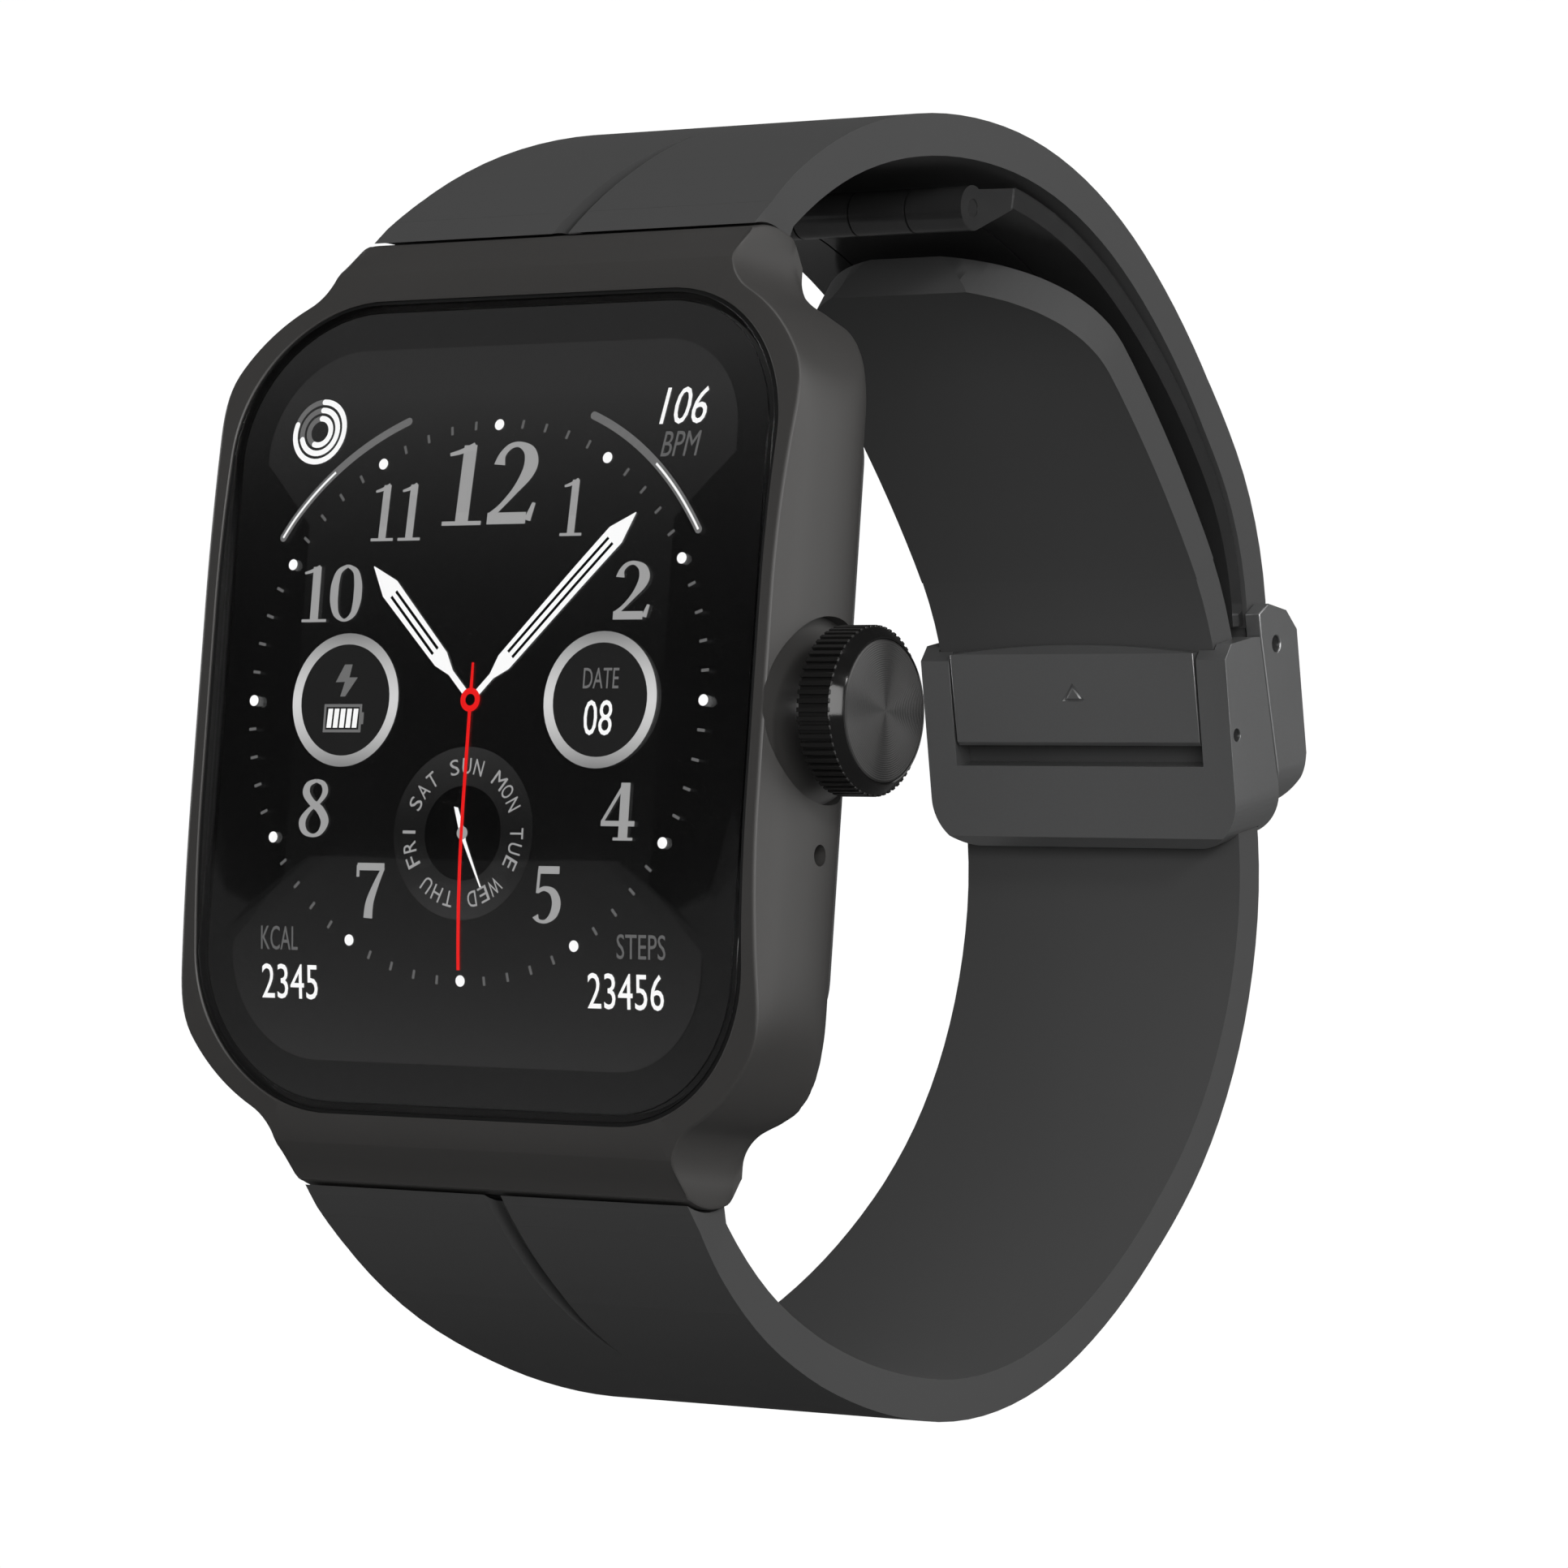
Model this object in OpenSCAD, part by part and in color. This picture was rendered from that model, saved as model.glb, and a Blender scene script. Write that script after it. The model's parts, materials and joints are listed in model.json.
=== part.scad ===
// Square smartwatch on a two-piece rubber strap with a folding magnetic clasp.
// X runs across the watch to the crown, Z runs up to 12 o'clock and the dial faces -Y.
// The origin is the middle of the sensor window's flat face on the back. The modules below are drawn
// with Y = 0 in the plane of the end bars' front edges, and placed() moves them to that origin.

/* [Case] */
// Width of the case at its front edge
case_w = 36.3; // [34:0.1:42]
// Height of the case over both end bars
case_h = 49.84; // [48:0.01:58]
// Height of the part that frames the glass, without the end bars
frame_h = 43; // [40:0.1:47]
// Corner radius of the case
case_r = 9; // [6:0.1:11]
// How far the sides bulge out past the front edge
side_bulge = 0.85; // [0.3:0.05:1.2]
// Distance of the back rim behind the end bars' front edges
back_y = 6.6; // [6.4:0.1:8]
// Rise of the domed front above the end bars' front edges
dome_rise = 2.43; // [1.8:0.01:3]
// Height of the flat stretch in the middle of the dome
dome_flat = 10; // [4:1:16]
// Width of an end bar
bar_w = 25.2; // [23:0.1:30]
// Size of the bevel along an end bar's front edge
bar_bevel = 1.92; // [1:0.01:2.6]
// Thickness of the rim around the glass
rim_w = 0.9; // [0.6:0.05:1.6]

/* [Front] */
// Height of the cover glass
glass_h = 42.5; // [38:0.1:44]
// Thickness of the cover glass
glass_t = 1; // [0.7:0.05:1.3]
// Thickness of the display panel
display_t = 0.6; // [0.4:0.05:0.9]
// Width of the lit area
active_w = 30; // [24:0.1:32]
// Height of the lit area
active_h = 37.4; // [30:0.1:39]

/* [Crown] */
// Diameter over the crown's knurl
crown_d = 8.6; // [6:0.1:9]
// Diameter of the crown's cap
cap_d = 7.5; // [4:0.1:8]
// Length of the crown's head
crown_len = 2.6; // [2:0.1:4]
// How far in the crown can be pressed
press_travel = 0.5; // [0.2:0.05:0.6]
// Diameter of the crown's stem
stem_d = 2; // [1.4:0.1:2.6]
// Distance of the crown's axis behind the end bars' front edges
crown_y = 2.3; // [2:0.1:3]

/* [Inside] */
// Battery width, thickness and height
battery = [21, 2.6, 18];
// Thickness of the main board
board_t = 0.7; // [0.5:0.05:0.9]
// Diameter of the sensor window in the back
window_d = 17; // [12:0.5:20]

/* [Strap] */
// Width of the strap where it meets the case
strap_w0 = 24.6; // [22:0.1:28]
// Width of the strap at the top of the loop
strap_w1 = 21.6; // [19:0.1:23]
// Width of the strap at the clasp
strap_w2 = 19; // [17:0.1:20]
// Thickness of the strap
strap_t = 2.3; // [1.8:0.05:2.5]
// Diameter of a spring bar
bar_d = 1.5; // [1.2:0.05:1.8]
// Length of a spring bar
bar_len = 22.4; // [21:0.1:23.4]
// Width of the strap's tongue in the case
tongue_w = 19.6; // [17:0.1:20.4]

/* [Clasp] */
// Width of the clasp blocks
clasp_w = 21.2; // [20.6:0.1:24]
// Height of the inner block
block_h = 12.2; // [11:0.1:14]
// Thickness of the outer block
cover_t = 3.8; // [3.4:0.1:4.6]
// Width of the latch
latch_w = 16.9; // [12:0.1:17.2]
// Thickness of a folding blade
blade_t = 1.2; // [0.8:0.05:1.4]
// Diameter of the folding blades' hinge knuckles
knuckle_d = 2.5; // [2.2:0.05:2.8]
// Diameter of the hinge pins
pin_d = 1; // [0.8:0.05:1.2]

/* [Hidden] */
$fn = 96;
eps = 0.01;
fit = 0.05;      // running clearance on a radius
gap = 0.15;      // clearance round a piece that sits in a pocket

half_w = case_w / 2;
full_w = case_w + 2 * side_bulge;
half_h = case_h / 2;
bar_z = half_h - bar_bevel;            // height of the end bars' front edges
dome_run = bar_z - dome_flat / 2;
dome_r = (dome_run * dome_run + dome_rise * dome_rise) / (2 * dome_rise);
glass_w = case_w - 2 * rim_w;
glass_r = case_r - 1;
rim_back = back_y - 1.1;

// Swing pivots of the two straps, and the nose that their ends ride round
pivot_y = 3.95;
nose_w = 3.7;                          // width of the nose between bevel and back
nose_r = 5;
nose_dz = sqrt(nose_r * nose_r - nose_w * nose_w / 4);
pivot_z = half_h - nose_dz;
pocket_w = tongue_w + 2 * gap;
pocket_z = pivot_z - 2.35;             // floor of a strap pocket
cavity_z = pocket_z - 0.6;
cavity_w = case_w - 2.6;
cavity_y = 0.95;
tube_r = 1.5;

function dome_y(z) = let(a = max(0, abs(z) - dome_flat / 2)) -dome_rise + dome_r
  - sqrt(dome_r * dome_r - a * a);

// Walk along a chain of arcs: a state is [y, z, heading], an arc is [length, turn]
function walk(p, len, turn) = let(h = turn / 2, c = abs(h) < 0.01 ? len : len * sin(h) / (h * PI / 180))
  [p[0] + c * cos(p[2] - h), p[1] + c * sin(p[2] - h), p[2] - turn];
function at(p, arcs, s, i = 0) = (i == len(arcs) - 1 || s <= arcs[i][0])
  ? walk(p, s, arcs[i][1] * s / arcs[i][0])
  : at(walk(p, arcs[i][0], arcs[i][1]), arcs, s - arcs[i][0], i + 1);
function side(p, t) = [p[0] + t * sin(p[2]), p[1] - t * cos(p[2])];
function total(arcs, i = 0) = i == len(arcs) ? 0 : arcs[i][0] + total(arcs, i + 1);

// Outer faces of the two straps, each from its corner at the case
start_u = [pivot_y - nose_w / 2, half_h, 45];
start_l = [pivot_y - nose_w / 2, half_h, 47];
arcs_u = [[14, 23], [16, 22], [16, 27], [16, 19], [18, 52]];
arcs_l = [[14, 26.8], [16, 18.6], [16, 29.1], [16, 21.3], [18, 39.1], [8, 22], [10, 6.5],
  [6, 16.2], [14, 10.1], [14, 33.2], [12, 28.5]];
len_u = 73.6;                          // the upper strap ends at its pin in the outer block
tail_in = 103;                         // the lower strap is narrowed to a tail from here
tip_s = 128.5;                         // the tail's tip

// Clasp frame: its origin and its lean against the vertical
clasp_y = 61;
clasp_z = 5;
lean = 16;
module in_clasp() { translate([0, clasp_y, clasp_z]) rotate([lean, 0, 0]) children(); }
function to_clasp(p) = let(a = p[0] - clasp_y, b = p[1] - clasp_z)
  [a * cos(lean) + b * sin(lean), -a * sin(lean) + b * cos(lean)];
face_u = -1.2 - strap_t;               // face that looks into the loop
seam_lo = 1.95;                        // seam between the blocks, at its lower and upper end
seam_hi = 0.85;
block_lo = -5.8;
block_hi = block_lo + block_h;
strap_pin_at = [2.75, 5.6];
latch_pin_at = [-0.48 - strap_t, 1];
hinge_y = 27.6;
hinge_z = 30.9;
hinge_w = strap_w2 - 0.2;

// Prism along X from a profile drawn in the Y-Z plane
module along_x(w) { rotate([90, 0, 90]) translate([0, 0, -w / 2]) linear_extrude(w) children(); }
// Prism along Y from an outline drawn in the X-Z plane
module along_y(y0, y1) { translate([0, y1, 0]) rotate([90, 0, 0]) linear_extrude(y1 - y0) children(); }

module round_rect(w, h, r) {
  square([w - 2 * r, h], center = true);
  square([w, h - 2 * r], center = true);
  for (x = [-1, 1], z = [-1, 1]) translate([x * (w / 2 - r), z * (h / 2 - r)]) circle(r);
}
// Region behind the dome, moved back by t
module behind_dome(t, depth) {
  translate([-dome_rise + t, -dome_flat / 2]) square([depth, dome_flat]);
  for (s = [-1, 1]) intersection() {
    translate([dome_r - dome_rise + t, s * dome_flat / 2]) circle(dome_r, $fn = 360);
    translate([-dome_rise + t, s > 0 ? dome_flat / 2 - eps : -half_h - 1])
      square([depth, half_h + 1 - dome_flat / 2 + eps]);
  }
}
// Outline from the front: round corners that flow into the two end bars. It's wider than the case, so
// that the bulged sides are shaped by side_section() alone
module case_outline() {
  wide = 1;
  neck = 3;                            // fillet between a corner and its end bar
  bx = bar_w / 2;
  r = case_r + side_bulge;
  fx = half_w + wide - r;
  fz = frame_h / 2 + side_bulge - r;
  dz = sqrt(pow(r + neck, 2) - pow(bx + neck - fx, 2));
  turn = atan2(dz, bx + neck - fx);
  quarter = concat([[fx + r, 0]],
    [for (i = [0:14]) let(a = turn * i / 14) [fx + r * cos(a), fz + r * sin(a)]],
    [for (i = [1:6]) let(a = 180 + turn * (1 - i / 6)) [bx + neck + neck * cos(a), fz + dz + neck * sin(a)]],
    [[bx, half_h + 0.5]]);
  upper = concat(quarter, [for (i = [len(quarter) - 1:-1:0]) [-quarter[i][0], quarter[i][1]]]);
  polygon(concat(upper, [for (i = [len(upper) - 2:-1:1]) [upper[i][0], -upper[i][1]]]));
}
// Section of the long sides, seen from above: straight at the rim, bulged, rounded to the back
module side_section() {
  h = full_w / 2;
  right = [[half_w, -dome_rise], [h - 0.32, -1.1], [h - 0.06, 0.8], [h, 2.2], [h - 0.13, 3.5],
    [h - 0.5, back_y - 2.1], [h - 1.25, back_y - 1.1], [h - 2.4, back_y - 0.25], [h - 3.6, back_y]];
  polygon(concat(right, [for (i = [len(right) - 1:-1:0]) [-right[i][0], right[i][1]]]));
}
// Section along the middle: dome, bevelled bars and the round noses
module end_section() {
  lo = pivot_y - nose_w / 2;
  hi = pivot_y + nose_w / 2;
  top = [[-6, bar_z], [0, bar_z], [lo, half_h], [hi, half_h], [back_y, half_h - 1.6]];
  intersection() {
    behind_dome(0, 12);
    union() {
      polygon(concat(top, [for (i = [len(top) - 1:-1:0]) [top[i][0], -top[i][1]]]));
      for (s = [-1, 1]) intersection() {
        translate([pivot_y, s * pivot_z]) circle(nose_r);
        translate([lo, s > 0 ? half_h - 1 : -half_h - 1]) square([nose_w, 2]);
      }
    }
  }
}
module strap_pockets() {
  for (s = [-1, 1]) scale([1, 1, s]) {
    along_x(pocket_w) polygon([[pivot_y - tube_r - gap, pocket_z], [pivot_y - tube_r - gap, pivot_z + 0.6],
      [pivot_y - 1.05, half_h + 2], [back_y + 2, half_h + 2], [back_y + 2, pocket_z]]);
    translate([-bar_len / 2 - fit, pivot_y, pivot_z]) rotate([0, 90, 0]) cylinder(d = bar_d + 2 * fit,
      h = bar_len + 2 * fit);
  }
}
floor_x = full_w / 2 - 0.3;            // floor of the round recess behind the crown
module case() {
  color("#3c3c39") difference() {
    intersection() {
      along_y(-dome_rise - 1, back_y) case_outline();
      linear_extrude(case_h + 2, center = true) side_section();
      along_x(full_w + 2) end_section();
    }
    intersection() {
      along_y(-8, back_y) round_rect(glass_w + 2 * gasket_t, glass_h + 2 * gasket_t, glass_r + gasket_t);
      along_x(60) difference() { behind_dome(-6, 14); behind_dome(glass_t, 14); }
    }
    intersection() {
      along_y(-8, back_y) round_rect(display_w + 2 * gap, display_h + 2 * gap, display_r + gap);
      along_x(60) difference() { behind_dome(-6, 14); behind_dome(glass_t + display_t + gap, 14); }
    }
    along_y(cavity_y - gap, back_y + 1) round_rect(cavity_w, 2 * cavity_z, 4);
    along_y(glass_t - dome_rise, cavity_y) square([flex_w, flex_h], center = true);
    strap_pockets();
    translate([floor_x, crown_y, 0]) rotate([0, 90, 0]) cylinder(d = crown_d + 0.9, h = 3);
    translate([cavity_w / 2 - 1, crown_y, 0]) rotate([0, 90, 0]) cylinder(d = tube_d, h = 6);
    translate([cavity_w / 2 - 1, crown_y, -mic_z]) rotate([0, 90, 0]) cylinder(d = 1.1, h = 6);
    for (i = [-2:2]) translate([-full_w / 2 - 1, crown_y, i * 2.2]) rotate([0, 90, 0])
      cylinder(d = 1, h = 4);
  }
}
flex_w = 9;                            // slot for the display's cable
flex_h = 6;
gasket_t = 0.2;
display_w = active_w + 1.6;
display_h = active_h + 1.6;
display_r = 6;
tube_d = stem_d + 1.6;
mic_z = 7.3;

module cover_glass() {
  color("#0b0b0c") intersection() {
    along_y(-8, back_y) round_rect(glass_w, glass_h, glass_r);
    along_x(60) difference() { behind_dome(0, 10); behind_dome(glass_t, 12); }
  }
}
module glass_gasket() {
  color("#050505") intersection() {
    along_y(-8, back_y) difference() {
      round_rect(glass_w + 2 * gasket_t, glass_h + 2 * gasket_t, glass_r + gasket_t);
      round_rect(glass_w, glass_h, glass_r);
    }
    along_x(60) difference() { behind_dome(0.15, 10); behind_dome(glass_t, 12); }
  }
}
module display_panel() {
  color("#16161a") intersection() {
    along_y(-8, back_y) round_rect(display_w, display_h, display_r);
    along_x(60) difference() { behind_dome(glass_t, 10); behind_dome(glass_t + display_t, 12); }
  }
}
module display_bracket() {
  color("#8a8d90") along_y(cavity_y, cavity_y + 0.35) difference() {
    round_rect(cavity_w - 2 * gap, 2 * cavity_z - 2 * gap, 3.85);
    square([flex_w, flex_h], center = true);
    crown_notch();
  }
}
// Room for the crown's tube, stem and switch in the flat plates
module crown_notch() { translate([cavity_w / 2 - 4.6, -2.4]) square([8, 4.8]); }
bat_y = cavity_y + 0.5;
board_y = bat_y + battery[1] + 0.2;
bat_z = -cavity_z + 1;
module battery() {
  color("#5d6b78") translate([-battery[0] / 2, bat_y, bat_z]) cube(battery);
  color("#c9a441") translate([-3, bat_y + 0.6, bat_z + battery[2]]) cube([6, 1.2, 1.2]);
}
module main_board() {
  color("#1f4d36") along_y(board_y, board_y + board_t) difference() {
    round_rect(cavity_w - 1.6, 2 * cavity_z - 1.2, 3.4);
    for (x = [-1, 1], z = [-1, 1]) translate([x * screw_x, z * screw_z]) circle(1.6);
  }
}
module shield_can() {
  color("#b9bcbf") difference() {
    translate([-9, board_y - 1.5, bat_z + battery[2] + 1.8]) cube([14, 1.5, 10]);
    translate([-8.8, board_y - 1.3, bat_z + battery[2] + 2]) cube([13.6, 1.4, 9.6]);
  }
}
module vibration_motor() {
  color("#a6a9ac") translate([6, bat_y, bat_z + battery[2] + 4]) cube([5, battery[1], 9]);
}
module speaker() {
  color("#26282a") translate([-cavity_w / 2 + 0.3, bat_y + 0.1, -6.5]) cube([4.6, battery[1], 13]);
}
module microphone() {
  color("#b59b4c") translate([cavity_w / 2 - 3, bat_y + 0.1, -mic_z - 1.6]) cube([2.7, battery[1], 3.2]);
}
screw_x = cavity_w / 2 - 2.3;
screw_z = cavity_z - 2.3;
cover_y = back_y + 0.8;                // back face of the cover's plate
window_y = cover_y + 0.8;              // flat face of the sensor window
module placed() { translate([0, -window_y, 0]) children(); }
module back_cover() {
  color("#2b2b2c") difference() {
    union() {
      along_y(back_y - 0.7, back_y) round_rect(cavity_w - 2 * gap, 2 * cavity_z - 2 * gap, 3.85);
      along_y(back_y, cover_y) round_rect(cavity_w - 2 * gap, 2 * cavity_z - 2 * gap, 3.85);
      translate([0, cover_y - eps, 0]) rotate([-90, 0, 0]) cylinder(d1 = window_d + 6, d2 = window_d + 4, h = 0.8);
      for (x = [-1, 1], z = [-1, 1]) translate([x * screw_x, board_y + board_t, z * screw_z])
        rotate([-90, 0, 0]) cylinder(d = 2.6, h = back_y - 0.6 - board_y - board_t);
    }
    translate([0, back_y - 1, 0]) rotate([-90, 0, 0]) cylinder(d = window_d, h = 4);
    for (x = [-1, 1]) translate([x * contact_x, back_y - 1, contact_z]) rotate([-90, 0, 0])
      cylinder(d = contact_d, h = 4);
    for (x = [-1, 1], z = [-1, 1]) translate([x * screw_x, 0, z * screw_z]) rotate([-90, 0, 0]) {
      cylinder(d = screw_d, h = 12);
      translate([0, 0, cover_y - 0.5]) cylinder(d = 2 + 2 * fit, h = 2);
    }
    along_y(back_y - 0.45, back_y - 0.05) difference() {
      round_rect(cavity_w, 2 * cavity_z, 4);
      round_rect(cavity_w - 2 * gap - 1, 2 * cavity_z - 2 * gap - 1, 3.35);
    }
  }
}
module back_gasket() {
  color("#151515") along_y(back_y - 0.45, back_y - 0.05) difference() {
    round_rect(cavity_w, 2 * cavity_z, 4);
    round_rect(cavity_w - 2 * gap - 1, 2 * cavity_z - 2 * gap - 1, 3.35);
  }
}
contact_x = 2;
contact_z = -cavity_z + 2.4;
contact_d = 1.6;
screw_d = 1.1;
module sensor_window() {
  h = window_y - back_y + 0.3;
  color("#0d0e10") translate([0, back_y - 0.3, 0]) rotate([-90, 0, 0]) {
    cylinder(d = window_d, h = h - 0.35);
    translate([0, 0, h - 0.35 - eps]) cylinder(d1 = window_d, d2 = window_d - 1, h = 0.35 + eps);
  }
}
module sensor_board() {
  color("#27563d") translate([0, board_y + board_t + 0.1, 0]) rotate([-90, 0, 0]) cylinder(d = window_d - 2, h = 0.4);
}
module sensor_leds() {
  color("#6fae5b") for (a = [0:90:270]) rotate([0, a + 45, 0])
    translate([-0.8, board_y + board_t + 0.5, 3.2]) cube([1.6, 0.4, 1.6]);
}
module charge_contacts() {
  color("#c8a54b") for (x = [-1, 1]) translate([x * contact_x, board_y + board_t + 0.1, contact_z])
    rotate([-90, 0, 0]) cylinder(d = contact_d, h = cover_y - board_y - board_t);
}
module back_screws() {
  color("#7c7f82") for (x = [-1, 1], z = [-1, 1]) translate([x * screw_x, 0, z * screw_z])
    rotate([-90, 0, 0]) difference() {
      union() {
        translate([0, 0, board_y + board_t + 0.15]) cylinder(d = screw_d, h = cover_y - board_y - board_t - 0.5);
        translate([0, 0, cover_y - 0.5]) cylinder(d = 2, h = 0.45);
      }
      translate([0, 0, cover_y - 0.3]) cylinder(d = 0.9, h = 1, $fn = 6);
    }
}

// Crown: a tube in the case, a sprung stem, a turning head and its cap
head_x = full_w / 2 + press_travel + 0.25;
module along_crown(x) { translate([x, crown_y, 0]) rotate([0, 90, 0]) children(); }
module crown_tube() {
  color("#6a6a66") along_crown(cavity_w / 2 - 0.6) difference() {
    cylinder(d = tube_d, h = floor_x + 0.2 - cavity_w / 2 + 0.6);
    translate([0, 0, -1]) cylinder(d = stem_d + 2 * fit, h = 8);
  }
}
module crown_switch() {
  color("#3b3f45") along_crown(cavity_w / 2 - 4.2) {
    translate([-1.2, -1.2, 0]) cube([2.4, 2.4, 1.6]);
    translate([0, 0, 1.6 - eps]) cylinder(d = 1.4, h = 0.3 + eps);
  }
}
module crown_stem() {
  color("#8d8d88") along_crown(cavity_w / 2 - 2.3 + press_travel + 0.1) {
    cylinder(d = stem_d + 1, h = 0.5);
    cylinder(d = stem_d, h = head_x + 0.9 - cavity_w / 2 + 2.3 - press_travel - 0.1);
    translate([0, 0, head_x + 0.8 - cavity_w / 2 + 2.3 - press_travel - 0.1]) cylinder(d = stem_d + 0.8, h = 0.6);
  }
}
cap_out = cap_d * crown_d / 8.6;       // the cap stays in the same proportion to the knurl
module crown_head() {
  chamfer = (crown_d - cap_out) / 2;
  root = crown_d / 2 - 0.15;
  color("#343433") along_crown(head_x) difference() {
    union() {
      linear_extrude(crown_len - chamfer) polygon([for (i = [0:teeth - 1], q = [[-0.29, root],
        [-0.26, crown_d / 2], [0.26, crown_d / 2], [0.29, root]]) let(a = 360 / teeth * (i + q[0]))
        [q[1] * cos(a), q[1] * sin(a)]]);
      translate([0, 0, crown_len - chamfer - 0.1]) cylinder(d1 = crown_d - 0.4, d2 = cap_out - 0.2, h = chamfer);
    }
    translate([0, 0, -1]) cylinder(d = stem_d + 2 * fit, h = 8);
    translate([0, 0, 0.75]) cylinder(d = stem_d + 0.8 + 2 * fit, h = 8);
    translate([0, 0, crown_len - 0.6]) cylinder(d = cap_out - 0.8, h = 2);
  }
}
teeth = 60;                            // teeth of the crown's knurl
module crown_cap() {
  color("#3f3f3c") along_crown(head_x + crown_len - 0.6) cylinder(d = cap_out - 0.8, h = 0.55);
}

// Band of the strap between two lengths along its path
module band(p, arcs, s0, s1, t0, t1) {
  n = ceil((s1 - s0) / 1.6);
  polygon(concat([for (i = [0:n]) side(at(p, arcs, s0 + (s1 - s0) * i / n), t0)],
    [for (i = [n:-1:0]) side(at(p, arcs, s0 + (s1 - s0) * i / n), t1)]));
}
// Plan of the strap: full width at the case, then narrowing to the clasp
module plan_prism(w_end) {
  hw = [strap_w0 / 2, strap_w1 / 2, w_end / 2];
  right = [[hw[0], -2], [hw[0], 3.5], [hw[0] - 0.35, 6], [hw[1] + 0.45, 13], [hw[1], 18], [hw[1] - 0.3, 24],
    [hw[2] + 0.35, 45], [hw[2], 54], [hw[2], 72]];
  linear_extrude(200, center = true)
    polygon(concat(right, [for (i = [len(right) - 1:-1:0]) [-right[i][0], right[i][1]]]));
}
module tongue() {
  difference() {
    along_x(tongue_w) union() {
      translate([pivot_y, pivot_z]) circle(tube_r);
      polygon([[pivot_y - 0.6, pivot_z + 0.4], [pivot_y + 1.15, pivot_z - 0.4],
        [pivot_y + 2.9, pivot_z + 4.2], [pivot_y + 4.3, pivot_z + 6.6], [pivot_y + 2.4, pivot_z + 6.4],
        [pivot_y + 1.15, pivot_z + 4.6]]);
    }
    translate([-30, pivot_y, pivot_z]) rotate([0, 90, 0]) cylinder(d = bar_d + 2 * fit, h = 60);
  }
}
// Shoulder that rides round the nose, cut from the straight end of the band
module shoulder_cut() {
  translate([-30, pivot_y, pivot_z]) rotate([0, 90, 0]) cylinder(r = nose_r + gap, h = 60);
}
module strap_end(p, arcs) {
  difference() {
    intersection() {
      along_x(60) union() {
        band(p, arcs, 0.2, 9, 0, strap_t);
        polygon([side(at(p, arcs, -1.2), 0), side(at(p, arcs, 1), 0), side(at(p, arcs, 4), strap_t),
          [pivot_y + nose_w / 2 + 0.3, half_h], [pivot_y, half_h - 0.6]]);
      }
      plan_prism(strap_w2);
    }
    shoulder_cut();
  }
}
module groove(p, arcs) {
  intersection() {
    along_x(60) band(p, arcs, -1, 17, -2, 0.8);
    linear_extrude(200, center = true) polygon([[-0.55, 0], [-0.5, 8], [0, 15], [0.5, 8], [0.55, 0]]);
  }
}
module strap_upper() {
  pin = strap_pin_at;
  color("#343434") difference() {
    union() {
      strap_end(start_u, arcs_u);
      difference() {
        intersection() {
          along_x(60) band(start_u, arcs_u, 2.5, len_u, 0, strap_t);
          plan_prism(strap_w2);
        }
        shoulder_cut();
      }
      tongue();
      in_clasp() along_x(strap_w2 - 0.6) union() {
        translate(pin) circle(1.15);
        polygon([[pin[0] - 1.1, pin[1]], [pin[0] + 1.15, pin[1]],
          to_clasp(side(at(start_u, arcs_u, len_u - 0.5), 0.1)),
          to_clasp(side(at(start_u, arcs_u, len_u - 0.5), strap_t - 0.1))]);
      }
    }
    groove(start_u, arcs_u);
    in_clasp() translate([-30, pin[0], pin[1]]) rotate([0, 90, 0]) cylinder(d = pin_d + 2 * fit, h = 60);
    in_clasp() translate([-blade_w / 2 - gap, pin[0] - 4, pin[1] - 2]) cube([blade_w + 2 * gap, 6, 3.6]);
  }
}
blade_w = 6;                           // width of the middle blade at the outer block
module tail_outline(p, arcs) {
  // Plan of the tail as seen from above and in front, with a round tip
  intersection() {
    along_x(strap_w2 + 0.1) band(p, arcs, tail_in, tip_s, 0, strap_t);
    union() {
      c = at(p, arcs, tip_s - strap_w2 / 2);
      translate([0, c[0], c[1]]) rotate([c[2] + 180, 0, 0]) {
        translate([0, 0, -20]) cylinder(d = strap_w2 + 0.1, h = 40);
        translate([-20, 0, -60]) cube([40, 60, 120]);
      }
    }
  }
}
module strap_lower() {
  color("#343434") scale([1, 1, -1]) difference() {
    union() {
      strap_end(start_l, arcs_l);
      difference() {
        intersection() {
          along_x(60) band(start_l, arcs_l, 2.5, tail_in + 0.05, 0, strap_t);
          plan_prism(strap_w2);
        }
        shoulder_cut();
      }
      tongue();
      tail_outline(start_l, arcs_l);
    }
    groove(start_l, arcs_l);
  }
}
module spring_bar(s) {
  color("#9b9c9d") scale([1, 1, s]) translate([-bar_len / 2, pivot_y, pivot_z]) rotate([0, 90, 0]) {
    translate([0, 0, 1]) cylinder(d = bar_d, h = bar_len - 2);
    cylinder(d = bar_d - 0.5, h = bar_len);
  }
}
module spring_bar_upper() { spring_bar(1); }
module spring_bar_lower() { spring_bar(-1); }

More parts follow.
